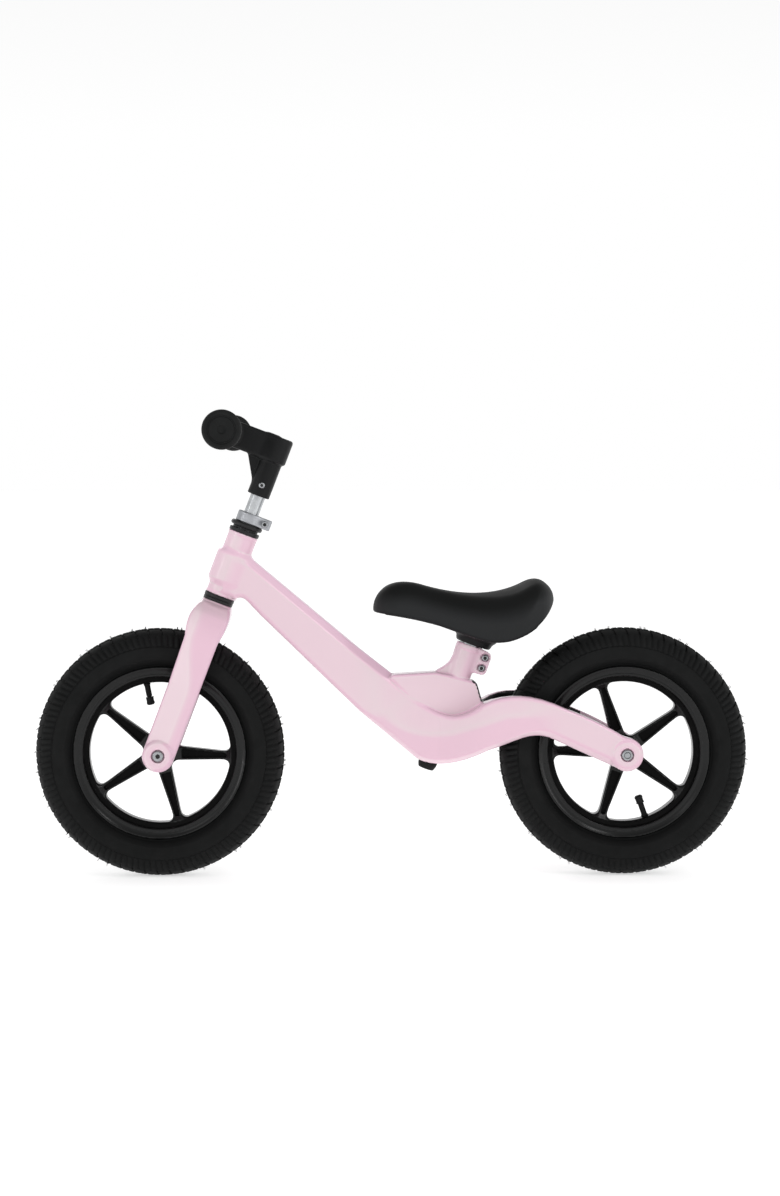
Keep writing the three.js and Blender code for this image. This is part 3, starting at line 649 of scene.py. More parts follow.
SEAT_TUBE_RADIUS, SEAT_TUBE_BORE, SEAT_TUBE_LENGTH = 15.2, 12.5, 149
POST_TOP = 20  # of the seat post, in the seat tube's axes
EAR_HALF_WIDTH, EAR_RECESS = 9.0, 2.0
HEAD_LOW, HEAD_HIGH, HEAD_RADIUS, HEAD_BORE = 208.3, 289.7, 18.3, 15.8
LUG_GROWTH = 4.3
BOSS_RADIUS = 19.0
GAP = 0.3  # between pieces that meet face to face, and round what sits in a hole
SCREW_SHANK = 2.5
AXLE_RADIUS = 4.0
NUT_RECESS_RADIUS, NUT_SEAT = 8.2, 51.5


def half_width(x):
    line = BEAM_HALF_WIDTHS
    return np.interp(x, line[:, 0], line[:, 1])


def wheel_slot(x, y):
    """Distance to the slot between the stays, which has a round front end."""
    return np.where(x > YOKE_CENTRE, np.hypot(x - YOKE_CENTRE, y), np.abs(y)) - WHEEL_GAP


def beam(x, y, z):
    side = np.abs(y)
    above, below = beside(BEAM_TOP, x, z), beside(BEAM_UNDER, x, z)
    bend = ease((60 - x) / 70) * ease((x + 215) / 70)
    from_ridge = np.abs(beside(BEND_RIDGE, x, z))
    lean = 0.22 * bend * (np.hypot(from_ridge, 5) - 5)
    flank = side - half_width(x) + lean
    strip = 2.5 + 6.5 * ease((x + 60) / 75)
    upper = meet(flank, chamfer(flank, above, strip), 1.5)
    band = 2.5 + 3.5 * ease((x + 300) / 30) + 2.0 * ease((-150 - x) / 40) - 3.0 * ease(x / 60)
    lower = meet(upper, chamfer(flank, below, band), 1.5)
    section = meet(meet(lower, above, 1.8), below, 1.8)
    slope = radians(20)
    past_hub = -(x - REAR_HUB[0]) * cos(slope) - (z - REAR_HUB[2]) * sin(slope)
    reach = np.hypot(x - REAR_HUB[0], z - REAR_HUB[2]) - HUB_REACH
    tip = meet(reach, side - ARM_OUTER, 2.5)
    stays = fuse(np.maximum(section, past_hub), tip, 1.5)
    ahead, _ = STEERING.local(x, z)
    return cut(np.maximum(stays, ahead), wheel_slot(x, y), 3)


def boss(hub_distance, y):
    """The raised disc round an axle, on both sides."""
    side = np.abs(y)
    disc = meet(hub_distance - BOSS_RADIUS, side - BOSS_FACE, 0.6)
    disc = meet(disc, chamfer(hub_distance - BOSS_RADIUS, side - BOSS_FACE, 3.0), 0.8)
    return np.maximum(disc, 45 - side)


def axle_cuts(body, hub_distance, y):
    side = np.abs(y)
    recess = np.maximum(hub_distance - NUT_RECESS_RADIUS, NUT_SEAT - side)
    return cut(cut(body, hub_distance - AXLE_RADIUS - GAP, 0.3), recess, 0.6)


def head_tube(x, y, z):
    ahead, along = STEERING.local(x, z)
    growth = ease((along - 219) / 9) - ease((along - 260) / 9)
    lips = ease((along - 286.2) / 0.8) + ease((211.6 - along) / 0.8)
    radius = HEAD_RADIUS + LUG_GROWTH * growth + 0.7 * lips
    return meet(np.hypot(ahead, y) - radius, between(along, HEAD_LOW, HEAD_HIGH), 0.8)


def seat_tube(x, y, z):
    ahead, along = SEAT.local(x, z)
    across = np.hypot(ahead, y)
    radius = SEAT_TUBE_RADIUS + 1.0 * ease((along + 7.0) / 1.0)
    tube = meet(across - radius, between(along, -SEAT_TUBE_LENGTH, 0), 0.8)
    plate = meet(within(EAR_OUTLINE, ahead, along), np.abs(y) - EAR_HALF_WIDTH, 1.6)
    return fuse(tube, plate, 2.5)


def seat_cuts(body, x, y, z):
    ahead, along = SEAT.local(x, z)
    side = np.abs(y)
    body = cut(body, np.maximum(np.hypot(ahead, y) - SEAT_TUBE_BORE, -175 - along), 0.6)
    slit = np.maximum(side - 1.3, np.maximum(ahead + 8, -40 - along))
    body = cut(body, slit, 0.5)
    for height in SEAT_BOLT_HEIGHTS.values():
        bolt = np.hypot(ahead - SEAT_BOLT_AHEAD, along - height)
        body = cut(body, np.maximum(bolt - 5.2, EAR_HALF_WIDTH - EAR_RECESS - side), 0.5)
        body = cut(body, bolt - SCREW_SHANK - GAP, 0.3)
    return body


def frame_field(x, y, z):
    side = np.abs(y)
    gusset = within(GUSSET, x, z)
    face = side - GUSSET_HALF_WIDTH
    gusset = meet(meet(gusset, chamfer(gusset, face, 2.6), 1.0), face, 1.0)
    web = meet(within(FRONT_WEB, x, z), side - 6.5, 3)
    tube = fuse(fuse(seat_tube(x, y, z), web, 5), gusset, 1.5)
    body = fuse(beam(x, y, z), tube, 2.2)
    body = fuse(body, head_tube(x, y, z), 5)
    hub_distance = np.hypot(x - REAR_HUB[0], z - REAR_HUB[2])
    body = fuse(body, boss(hub_distance, y), 0.5)
    ahead, _ = STEERING.local(x, z)
    body = cut(body, np.hypot(ahead, y) - HEAD_BORE, 0.6)
    return axle_cuts(seat_cuts(body, x, y, z), hub_distance, y)


def painted_shade_walls(x, y, z):
    """Walls facing the rear wheel, black as painted shade: the slot's front half and the gusset's
    back.
    """
    slot_wall = (wheel_slot(x, y) < 1.3) & (z < SLOT_TOP) & (x > PAINTED_SHADE_SLOT_END)
    gusset_edge = (within(GUSSET, x, z) > -2) & (np.abs(y) < GUSSET_HALF_WIDTH - 0.9)
    behind = (x < GUSSET_BACK) & (between(z, *GUSSET_BACK_HEIGHTS) < 0)
    return slot_wall | (gusset_edge & behind)


def frame_casting():
    low, high = (in_mm(corner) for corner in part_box("frame_casting"))
    skin = field_piece("frame_skin", "paint", "frame_casting", frame_field, low - 1, high + 1,
                       step=1.5)
    # The walls round the rear wheel get black painted shade.
    repaint(skin.data, SHADOW_BLACK, painted_shade_walls)


# ---- Fork casting, in the steering axes ----

CROWN_TOP, NECK_RADIUS, NECK_LOW = 199.0, 18.9, 180.0
STEERER_RADIUS, STEERER_LOW, STEERER_HIGH = 11.1, 174.3, 312.0
FORK_END_RADIUS = 19.8
FORK_OUTER = trace((19, 199.5), (20.5, 197.5), (38, 194, 46, 184), (54, 172, 54, 145), (54, -40))
FORK_ARCH = trace((WHEEL_GAP, -40), (WHEEL_GAP, 128), (WHEEL_GAP, 163, 0, 163), steps=12)
FORK_FRONT_EDGE = trace(
    (19.6, -40), (19.6, 20), (20, 90), (22, 150), (26.5, 166, 25.6, 177), (23.5, 189, 17.3, 199.5),
)
FORK_REAR_EDGE = trace(
    (-17.5, 199.5), (-22.6, 192, -22.4, 178), (-22.3, 166, -19.4, 154), (-19.8, 20), (-19.8, -40),
)


def fork_field(ahead, y, along):
    side = np.abs(y)
    outer = beside(FORK_OUTER, side, along)
    arch = np.where(along > 128, beside(FORK_ARCH, side, along), WHEEL_GAP - side)
    ridge = 13 - 20 * ease((155 - along) / 75)
    lean = 0.20 * np.maximum(ahead - ridge, 0) + 0.10 * np.maximum(ridge - ahead, 0)
    outer = outer + (np.hypot(lean, 0.5) - 0.5) * ease((195 - along) / 20)
    front, rear = beside(FORK_FRONT_EDGE, ahead, along), beside(FORK_REAR_EDGE, ahead, along)
    blades = meet(meet(outer, np.maximum(-front, -rear), 3.2), arch, 2.0)
    blades = meet(blades, along - CROWN_TOP, 1.0)
    hub_distance = np.hypot(ahead, along)
    blades = np.maximum(blades, np.where(along < 0, hub_distance - FORK_END_RADIUS, -40))
    across = np.hypot(ahead, y)
    neck = meet(across - NECK_RADIUS, between(along, NECK_LOW, CROWN_TOP), 0.8)
    body = fuse(fuse(blades, neck, 1.5), boss(hub_distance, y), 1.5)
    socket = np.maximum(across - STEERER_RADIUS - GAP, STEERER_LOW - GAP - along)
    return axle_cuts(cut(body, socket, 0.6), hub_distance, y)


def fork_casting():
    box = (-26, -57, -20), (28, 57, 200)
    field_piece("fork_skin", "paint", "fork_casting", fork_field, *box, step=1.2,
                matrix=STEERING.matrix(), material=FORK_PAINT)


# ---- Turned and small pieces ----

BAR_CENTRE = (63, 0, 401)  # in the steering axes
BAR_RADIUS, BAR_HALF_LENGTH = 11.1, 197
STEM_TUBE_RADIUS, STEM_TUBE_LOW, STEM_TUBE_HIGH = 9.4, 241, 398
HEIGHT_MARK = 309  # a fine groove round the stem tube
BORE_ROUND_STEERER = 11.5
NUT_FOOT = NUT_SEAT + GAP
LOCK_NUT = (4.6, SCREW_SHANK + 0.1, 4)  # its radius, hole and height
CUP_PROFILE = [
    (16.4, 0), (19.1, 0, 0.8), (19.1, 4.6), (15.5, 4.6), (15.5, 12.6), (12.4, 12.6), (12.4, 3.8),
    (16.4, 3.8),
]

# Turns a lathed piece so that its axis lies along -Y.
ACROSS_RIGHT = Matrix.Rotation(pi, 4, "Z") @ ACROSS
SIDES = {"left": (1, ACROSS), "right": (-1, ACROSS_RIGHT)}


def ring(inner, outer, low, high):
    return [(inner, low), (outer, low), (outer, high), (inner, high)]


SCREW_STEP = 0.45
SOCKET_DEPTH = 2.4


def screw(name, head, height, shank, length, socket, hexagonal=False):
    """A screw along the third axis with its head above 0 and its shank below."""
    def field(x, y, z):
        across = np.hypot(x, y)
        rim = hexagon(x, y, head) if hexagonal else across - head
        top = meet(rim, between(z, 0, height), 0.35)
        top = meet(top, chamfer(across - head, z - height, 1.2), 0.3)
        top = cut(top, np.maximum(hexagon(x, y, socket), height - SOCKET_DEPTH - z), 0.25)
        stem = meet(across - shank, between(z, -length, 1), 0.5)
        return np.minimum(top, stem)
    low, high = (-head - 0.5, -head - 0.5, -length), (head + 0.5, head + 0.5, height)
    mesh = make_mesh(name, *mesh_field(field, low, high, SCREW_STEP), sharp=30)
    mesh.materials.append(FINISHES["steel"])
    # Painted shade: the socket's inside gets the black stand-in for shade.
    repaint(mesh, SHADOW_BLACK,
            lambda x, y, z: (np.hypot(x, y) < socket + 0.1) & (between(z, 0.5, height - 0.4) < 0))
    return mesh


def nut(name, radius, hole, height, dome=0.0):
    """A hexagon nut from 0 up the third axis, with a round washer face and a domed end."""
    def field(x, y, z):
        across = np.hypot(x, y)
        body = meet(hexagon(x, y, radius), between(z, 0, height), 0.35)
        body = meet(body, chamfer(across - radius, z - height, 1.1 + dome), 0.3)
        body = meet(body, chamfer(across - radius, -z, 0.8), 0.3)
        return cut(body, across - hole, 0.3)
    edge = radius + 0.5
    low, high = (-edge, -edge, 0), (edge, edge, height)
    return make_mesh(name, *mesh_field(field, low, high, SCREW_STEP), sharp=30)


def screw_places(axes, spot):
    """Where a screw's head sits on the left face, and its nut on the right one."""
    ahead, face, along = spot
    return axes @ at(spot) @ ACROSS, axes @ at((ahead, -face, along)) @ ACROSS_RIGHT


def seat_clamp_screws():
    face = EAR_HALF_WIDTH - EAR_RECESS + GAP
    bolt = screw("seat_clamp_screw", 4.25, 4.6, SCREW_SHANK, 18.5, 2.3)
    lock = nut("seat_clamp_lock_nut", *LOCK_NUT)
    for which, height in SEAT_BOLT_HEIGHTS.items():
        left, right = screw_places(SEAT.matrix(), (SEAT_BOLT_AHEAD, face, height))
        place(f"seat_screw_{which}", bolt, "steel", [f"seat_clamp_bolt_{which}"], left)
        place(f"seat_screw_nut_{which}", lock, "steel", [f"seat_clamp_nut_{which}"], right)


def headset():
    axes = STEERING.matrix()
    for which, rim, up in (("upper", HEAD_HIGH + 4.9, -1), ("lower", HEAD_LOW - 4.9, 1)):
        profile = [(corner[0], rim + up * corner[1], *corner[2:]) for corner in CUP_PROFILE]
        turned_piece(f"{which}_cup", "black_metal", f"{which}_headset_cup", profile, axes)
    race = ring(BORE_ROUND_STEERER, NECK_RADIUS, CROWN_TOP + GAP, 203.0)
    turned_piece("race", "black_metal", "crown_race", race, axes)
    cone = ring(BORE_ROUND_STEERER, 15.9, 294.9, 297.2)
    turned_piece("cone", "black_metal", "upper_cone", cone, axes)
    low, high = 297.5, 303.2
    spacer = [
        (BORE_ROUND_STEERER, low), (18.5, low), (20, low + 1.5), (20, high - 1.5), (18.5, high),
        (BORE_ROUND_STEERER, high),
    ]
    turned_piece("spacer_ring", "black_metal", "headset_spacer", spacer, axes, steps=96)


SLIT_HALF_WIDTH, SLIT_LOW = 1.2, 286  # of the slit down the back of the steerer and the clamp


def steerer_field(x, y, z):
    across = np.hypot(x, y)
    wall = between(across, STEM_TUBE_RADIUS + GAP, STEERER_RADIUS)
    tube = meet(wall, between(z, STEERER_LOW, STEERER_HIGH), 0.4)
    return cut(tube, np.maximum(np.abs(y) - SLIT_HALF_WIDTH, np.maximum(x, SLIT_LOW - z)), 0.3)


def tubes():
    axes = STEERING.matrix()
    box = (-12, -12, STEERER_LOW - 1.3), (12, 12, STEERER_HIGH + 1)
    field_piece("steerer", "steel", "steerer_tube", steerer_field, *box, step=0.8, matrix=axes)
    inner, outer, mark = STEM_TUBE_RADIUS - 1.8, STEM_TUBE_RADIUS, HEIGHT_MARK
    groove = outer - 0.25
    stem = [
        (inner, STEM_TUBE_LOW), (outer, STEM_TUBE_LOW), (outer, mark - 0.5, 0),
        (groove, mark - 0.3, 0), (groove, mark + 0.3, 0), (outer, mark + 0.5, 0),
        (outer, STEM_TUBE_HIGH), (inner, STEM_TUBE_HIGH),
    ]
    turned_piece("inner_stem_tube", "aluminium", "stem_tube", stem, axes)
    bar = axes @ at(BAR_CENTRE) @ ACROSS
    tube = ring(BAR_RADIUS - 1.6, BAR_RADIUS, -BAR_HALF_LENGTH, BAR_HALF_LENGTH)
    turned_piece("bar", "black_metal", "handlebar_tube", tube, bar)
    post = ring(10.2, 12.2, -112, POST_TOP)
    turned_piece("seat_pillar", "aluminium", "seat_post", post, SEAT.matrix())
    plug = [(0, -164), (9.5, -163.5), (11.6, -158), (12.1, -152), (12.1, -140), (0, -140)]
    turned_piece("tube_end_plug", "grip_rubber", "seat_tube_plug", plug, SEAT.matrix(), radius=1.5)


def rear_axle_parts():
    hub = at(REAR_HUB)
    axle = [(0, -58), (2.8, -58), (4, -56.8), (4, 56.8), (2.8, 58), (0, 58)]
    turned_piece("rear_axle_rod", "steel", "rear_axle", axle, hub @ ACROSS)
    end = nut("rear_axle_end_nut", 7.5, 4.1, 5.3, dome=0.6)
    for side, (sign, turn) in SIDES.items():
        spot = hub @ at((0, sign * NUT_FOOT, 0)) @ turn
        place(f"rear_end_nut_{side}", end, "steel", [f"rear_axle_nut_{side}"], spot)


def front_axle_parts():
    hub = STEERING.matrix()
    left, right = (hub @ at((0, sign * NUT_FOOT, 0)) @ turn for sign, turn in SIDES.values())
    bolt = screw("front_axle_screw", 6.8, 5.3, AXLE_RADIUS, 102.8, 3)
    place("front_axle_long_screw", bolt, "steel", ["front_axle"], left)
    end = screw("front_axle_cap", 6.8, 5.3, AXLE_RADIUS, 0.2, 3)
    place("front_axle_cap_nut", end, "steel", ["front_axle_nut"], right)


def axle_collars():
    for end, hub in (("front", FRONT_HUB), ("rear", REAR_HUB)):
        for side, (_, turn) in SIDES.items():
            turned_piece(f"{end}_collar_{side}", "steel", f"{end}_axle_spacer_{side}",
                         ring(4.4, 8, HUB_HALF_WIDTH - 0.1, WHEEL_GAP - GAP), at(hub) @ turn)


# ---- Stem clamp, stem and grips, in the steering axes ----

CLAMP_LOW, CLAMP_HIGH, CLAMP_RADIUS = 303.5, 316.5, 16
EARS_BACK, EARS_HALF_WIDTH = -28, 9.5
CLAMP_BOLT = (-20.5, EARS_HALF_WIDTH + GAP, 310)  # ahead, the face that its head sits on, and along


def clamp_field(x, y, z):
    across = np.hypot(x, y)
    ears = meet(between(x, EARS_BACK, 0), np.abs(y) - EARS_HALF_WIDTH, 2.0)
    body = fuse(across - CLAMP_RADIUS, ears, 4)
    body = meet(body, between(z, CLAMP_LOW, CLAMP_HIGH), 1.2)
    body = cut(body, across - BORE_ROUND_STEERER, 0.5)
    body = cut(body, np.maximum(np.abs(y) - SLIT_HALF_WIDTH, x), 0.4)
    return cut(body, np.hypot(x - CLAMP_BOLT[0], z - CLAMP_BOLT[2]) - SCREW_SHANK - GAP, 0.3)


def stem_clamp():
    axes = STEERING.matrix()
    box = (-29, -17, 303), (17, 17, 317)
    field_piece("clamp_collar", "aluminium", "stem_clamp", clamp_field, *box, step=0.8,
                matrix=axes, material=SATIN)
    left, right = screw_places(axes, CLAMP_BOLT)
    bolt = screw("clamp_screw", 4.6, 4.5, SCREW_SHANK, 24.8, 2.3, hexagonal=True)
    place("clamp_collar_screw", bolt, "steel", ["stem_clamp_bolt"], left)
    lock = nut("clamp_nut", *LOCK_NUT)
    place("clamp_collar_nut", lock, "steel", ["stem_clamp_nut"], right)


STEM_LOW, STEM_HIGH = 385, 417.5
CROSS_BOLT_FACE, CROSS_BOLT_HEIGHT = 14.3, 354


def stem_field(x, y, z):
    side = np.abs(y)
    across = np.hypot(x, y)
    height = between(z, STEM_LOW, STEM_HIGH)
    block = meet(across - 17.5, height, 3.5)
    arm = meet(side - 12.5, between(x, 0, BAR_CENTRE[0]), 1)
    arm = meet(arm, height, 3.5)
    barrel_distance = np.hypot(x - BAR_CENTRE[0], z - BAR_CENTRE[2])
    barrel = meet(barrel_distance - 16.5, side - 30, 2.2)
    collar = meet(across - 14, between(z, 340, 392), 1.4)
    web = np.maximum(side - 3.2, np.maximum(between(z, 350, 392), -x))
    web = np.maximum(web, (x - 14.5) * 0.865 - (z - 357) * 0.50)
    body = fuse(fuse(block, arm, 4), barrel, 4)
    body = fuse(body, fuse(collar, web, 2), 2.0)
    tube = np.maximum(across - STEM_TUBE_RADIUS - GAP, z - STEM_TUBE_HIGH - GAP)
    body = cut(body, tube, 0.5)
    body = cut(body, barrel_distance - BAR_RADIUS - GAP, 0.6)
    return cut(body, np.hypot(x, z - CROSS_BOLT_HEIGHT) - SCREW_SHANK - GAP, 0.3)


def stem():
    axes = STEERING.matrix()
    box = (-19, -31, 339), (81, 31, 419)
    field_piece("stem_moulding", "moulded_plastic", "stem_body", stem_field, *box, step=1.0,
                matrix=axes)
    left, right = screw_places(axes, (0, CROSS_BOLT_FACE, CROSS_BOLT_HEIGHT))
    bolt = screw("cross_screw", 3.9, 2.8, SCREW_SHANK, 33.3, 1.9)
    place("stem_cross_screw", bolt, "steel", ["stem_cross_bolt"], left)
    lock = nut("cross_nut", *LOCK_NUT)
    place("stem_cross_screw_nut", lock, "steel", ["stem_cross_nut"], right)


GRIP_RIBS = 17
RIB_PITCH = 4.3


def grip_profile():
    """From the inner flange over ribs to the mushroom end, with its ring groove and dimple."""
    profile = [(11.4, 98), (19, 98, 1.2), (19.5, 101.5, 1.2), (15.6, 104.5, 1.5)]
    for i in range(GRIP_RIBS):
        start = 108 + i * RIB_PITCH
        swell = 0.9 * sin(pi * (i + 0.5) / GRIP_RIBS)
        profile += [(14.4 + swell, start), (15.3 + swell, start + 0.9, 0.5),
                    (15.3 + swell, start + 2.9, 0.5), (14.4 + swell, start + 3.8)]
    return profile + [
        (15.2, 184, 1.5), (20, 187.5, 2), (23.5, 191.5, 2.5), (23.5, 199, 3), (20.5, 203, 1.5),
        (17.4, 203, 0.4), (16.8, 202, 0.3), (15.2, 202, 0.3), (14.6, 203, 0.4), (5.5, 203, 0.8),
        (4.2, 201.6, 0.8), (0, 201.2), (0, 197.3), (11.4, 197.3, 0.2),
    ]


def grips():
    centre = STEERING.matrix() @ at(BAR_CENTRE)
    mesh = make_mesh("grip", *lathe(rounded(grip_profile(), 0.35, steps=3), 72), sharp=40)
    for side, (_, turn) in SIDES.items():
        place(f"hand_grip_{side}", mesh, "grip_rubber", [f"grip_{side}"], centre @ turn)


# ---- Rims ----

SPOKES = 5
RIM_SECTION = np.array([
    (88, -6), (88, 8.0), (89, 9.6), (90.8, 10.4), (94.0, 10.8), (95.2, 12.0), (95.0, 15.6),
    (95.8, 16.9), (97.0, 17.0), (98.4, 16.0), (102.6, 17.5), (105.4, 19.2), (106.5, 18.2),
    (102.6, 14.6), (101.2, 8), (98, 5.5), (97, -6),
], float)
SPOKE_HALF_WIDTHS = [(14, 9.2), (74, 5.4), (92, 5.4)]  # by the distance out
HUB_RADII = [(0, 21), (8, 21), (14, 16.5), (30, 15.5)]  # by the distance from the centre plane
SPOKE_SHELL = 7.5  # half the thickness of a spoke
SPOKE_EDGE = 2.5  # width of the raised edges beside a spoke's groove
GROOVE_START, GROOVE_END, GROOVE_DEPTH = 27, 82, 3.4
RIM_BORE, BEARING_SEAT_RADIUS, BEARING_SEAT = 7, 11.3, 22.3
VALVE_HOLE = 4.6
VALVES = {"front": 79, "rear": 251}  # angles round the wheel
SPOKE_STARTS = {"front": 39, "rear": 0}


def along_spoke(x, z, spoke_angle):
    """How far out along the nearest spoke, how far off its line, and its half width there."""
    fold = 2 * pi / SPOKES
    turn = np.mod(np.arctan2(z, x) - radians(spoke_angle) + fold / 2, fold) - fold / 2
    across = np.hypot(x, z)
    out = across * np.cos(turn)
    return out, np.abs(across * np.sin(turn)), np.interp(out, *zip(*SPOKE_HALF_WIDTHS))


def rim_recess_shade_places(spoke_angle):
    """Which places get the darker matt plastic, painted shade in the recesses: the spokes' grooves
    and the step inside the hoop.
    """
    def chosen(x, y, z):
        side, across = np.abs(y), np.hypot(x, z)
        out, off, half = along_spoke(x, z, spoke_angle)
        floor = (off < half - SPOKE_EDGE + 0.6) & (between(out, GROOVE_START, GROOVE_END) < 0)
        in_groove = floor & (side < SPOKE_SHELL - 0.8)
        on_step = (between(across, 88.5, 94.6) < 0) & (side > 6)
        return in_groove | on_step
    return chosen


def rim_field(spoke_angle, valve_angle):
    valve_x, valve_z = cos(radians(valve_angle)), sin(radians(valve_angle))

    def field(x, y, z):
        side, across = np.abs(y), np.hypot(x, z)
        out, off, half = along_spoke(x, z, spoke_angle)
        spoke = meet(off - half, side - SPOKE_SHELL, 1.6)
        spoke = np.maximum(spoke, between(out, 5, 94))
        groove = meet(off - half + SPOKE_EDGE, SPOKE_SHELL - GROOVE_DEPTH - side, 0.4)
        groove = np.maximum(groove, between(out, GROOVE_START, GROOVE_END))
        hoop = within(RIM_SECTION, across, side) - 1.0
        hub_radius = np.interp(side, *zip(*HUB_RADII))
        hub = meet(across - hub_radius, side - HUB_HALF_WIDTH, 1.2)
        body = fuse(fuse(hub, cut(spoke, groove, 0.6), 3.5), hoop, 8)
        body = cut(body, across - RIM_BORE, 0.4)
        body = cut(body, np.maximum(across - BEARING_SEAT_RADIUS, BEARING_SEAT - side), 0.5)
        hole = np.hypot(x * valve_z - z * valve_x, y) - VALVE_HOLE
        return cut(body, np.maximum(hole, 60 - x * valve_x - z * valve_z), 0.6)

    return field


# ---- Tyres ----

# Half of the section from the bead to the crown, as radius and distance from the centre plane.
TYRE_OUTER = [
    (102.3, 10.5), (102, 14), (105.5, 16.2), (109.5, 17.6), (112.5, 21.5), (117, 25), (125, 27),
    (133, 26.6), (139, 24.9), (144.5, 21.6), (148.6, 17.2), (151.3, 12.2), (153, 7.4), (153.8, 3.5),
    (154, 0),
]
TYRE_LINING = [(106, 13.5), (115, 19.5), (127, 23), (140, 19), (148, 10.5), (150, 0)]
LUGS = 60
LUG_COLUMNS = (0, 0.06, 0.10, 0.16, 0.34, 0.43, 0.5, 0.57, 0.66, 0.84, 0.90, 0.94)
LUG_DEPTH = 2.2
HAIRS = 38
HAIR_FOOT_RADIUS, HAIR_FOOT_ACROSS = 151.6, 5
HAIR_LENGTH, HAIR_SPLAY, HAIR_LEAN = 5.0, 0.9, 1.8
HAIR_FOOT_SIZE, HAIR_TIP_SIZE = 0.55, 0.36
WORN_OFF_ANGLE = 18  # no hairs within this many degrees of the wheel's lowest point
TREAD_REACH = 38.5  # from the centre line over the crown to the tread's edge
TREAD_SKEW = 0.0011  # how much the lugs lean round the wheel, in radians per mm
SIDE_LINES = (14.0, 22.5)  # raised lines round the side wall, as lengths up from the bead


def smooth_line(points, spacing):
    """Evenly spaced points of a smooth line through the given ones, and the length up to each."""
    points = np.array(points, float)
    ends = np.concatenate([[2 * points[0] - points[1]], points, [2 * points[-1] - points[-2]]])
    line = []
    for p0, p1, p2, p3 in zip(ends, ends[1:], ends[2:], ends[3:]):
        for t in np.linspace(0, 1, 12, endpoint=False):
            line.append(p1 + 0.5 * t * (p2 - p0 + t * (2 * p0 - 5 * p1 + 4 * p2 - p3
                                                      + t * (3 * (p1 - p2) + p3 - p0))))
    line = np.array(line + [points[-1]])
    length = np.concatenate([[0], np.cumsum(np.hypot(*np.diff(line, axis=0).T))])
    wanted = np.linspace(0, length[-1], int(length[-1] / spacing) + 1)
    return np.stack([np.interp(wanted, length, line[:, k]) for k in (0, 1)], axis=1), wanted


def block(value, low, high, slope):
    """1 between low and high and 0 outside, with short slopes."""
    return np.clip(np.minimum(value - low, high - value) / slope + 0.5, 0, 1)


def lug_height(across, phase):
    """How far the tread stands up, from 0 to 1, at a distance round from the centre line."""
    from_groove = np.minimum(phase, 1 - phase)
    from_split = np.abs(phase - 0.5)
    whole = block(from_groove, 0.08, 2, 0.04)
    halved = block(from_split, 0.05, 2, 0.04)
    rib = block(np.minimum(from_groove, from_split), 0.085, 2, 0.11)
    centre = block(across, -1, 7.0, 0.8) * (0.6 + 0.4 * whole * halved)
    shoulder = block(across, 9.0, 22.0, 0.8) * whole
    outer = block(across, 21.0, 37.5, 3.0) * (0.35 + 0.65 * rib)
    return np.maximum(centre + shoulder, outer)


def tyre_section():
    """Rows of the section: radius, width, the way out, length up from the bead and across."""
    half, length = smooth_line(TYRE_OUTER, 1.2)
    slope = np.gradient(half, axis=0)
    slope[-1] = (0, -1)
    slope /= np.hypot(*slope.T)[:, None]
    rows = [
        (*point, -way[1], way[0], along, length[-1] - along)
        for point, way, along in zip(half, slope, length)
    ]
    mirrored = [(r, -w, out_r, -out_w, *rest) for r, w, out_r, out_w, *rest in rows[-2::-1]]
    return rows + mirrored


def hair(angle, side, lean):
    """A thin moulding hair on the tread: a closed, slightly tapered stalk of three sides."""
    out = np.array([cos(angle), 0, sin(angle)])
    around = np.array([-sin(angle), 0, cos(angle)])
    across = np.array([0, side, 0])
    foot = HAIR_FOOT_RADIUS * out + HAIR_FOOT_ACROSS * across
    tip = foot + HAIR_LENGTH * out + HAIR_SPLAY * across + lean * around
    points = [
        end + thickness * (cos(turn) * around + sin(turn) * across)
        for end, thickness in ((foot, HAIR_FOOT_SIZE), (tip, HAIR_TIP_SIZE))
        for turn in np.linspace(0, 2 * pi, 3, endpoint=False)
    ]
    return points, [(0, 2, 1), (3, 4, 5), (0, 1, 4, 3), (1, 2, 5, 4), (2, 0, 3, 5)]


def hairs():
    shapes = []
    for i in range(HAIRS):
        angle = 2 * pi * (i + 0.4 * sin(9 * i)) / HAIRS
        if abs(degrees(angle) - 270) > WORN_OFF_ANGLE:
            lean = HAIR_LEAN * sin(5 * i)
            shapes += [hair(angle, side, lean) for side in (1, -1)]
    return shapes


def joined(shapes):
    """Several closed shapes as the points and faces of one mesh."""
    points, faces, start = [], [], 0
    for shape_points, shape_faces in shapes:
        points.append(np.asarray(shape_points))
        faces += [tuple(start + i for i in face) for face in shape_faces]
        start += len(shape_points)
    return np.concatenate(points), faces


def tyre_shell():
    phase = np.tile(LUG_COLUMNS, LUGS)
    angles = 2 * pi * (np.repeat(np.arange(LUGS), len(LUG_COLUMNS)) + phase) / LUGS
    rings = []
    for radius, width, out_r, out_w, along, across in tyre_section():
        on_tread = across < TREAD_REACH
        lift = LUG_DEPTH * (lug_height(across, phase) - 1) * on_tread
        lift = lift + sum(0.4 * block(along, line - 0.6, line + 0.6, 0.6) for line in SIDE_LINES)
        r, w = radius + out_r * lift, width + out_w * lift
        turn = angles + TREAD_SKEW * across * on_tread
        rings.append(np.stack([r * np.cos(turn), w, r * np.sin(turn)], axis=1))
    lining = [(r, -w) for r, w in TYRE_LINING] + TYRE_LINING[-2::-1]
    for radius, width in lining:
        flat = np.full(len(angles), width)
        rings.append(np.stack([radius * np.cos(angles), flat, radius * np.sin(angles)], axis=1))
    index = np.arange(len(rings) * len(angles)).reshape(len(rings), -1)
    upper = np.roll(index, -1, axis=0)
    corners = [index, np.roll(index, -1, axis=1), np.roll(upper, -1, axis=1), upper]
    return np.concatenate(rings), np.stack(corners, axis=2).reshape(-1, 4).tolist()


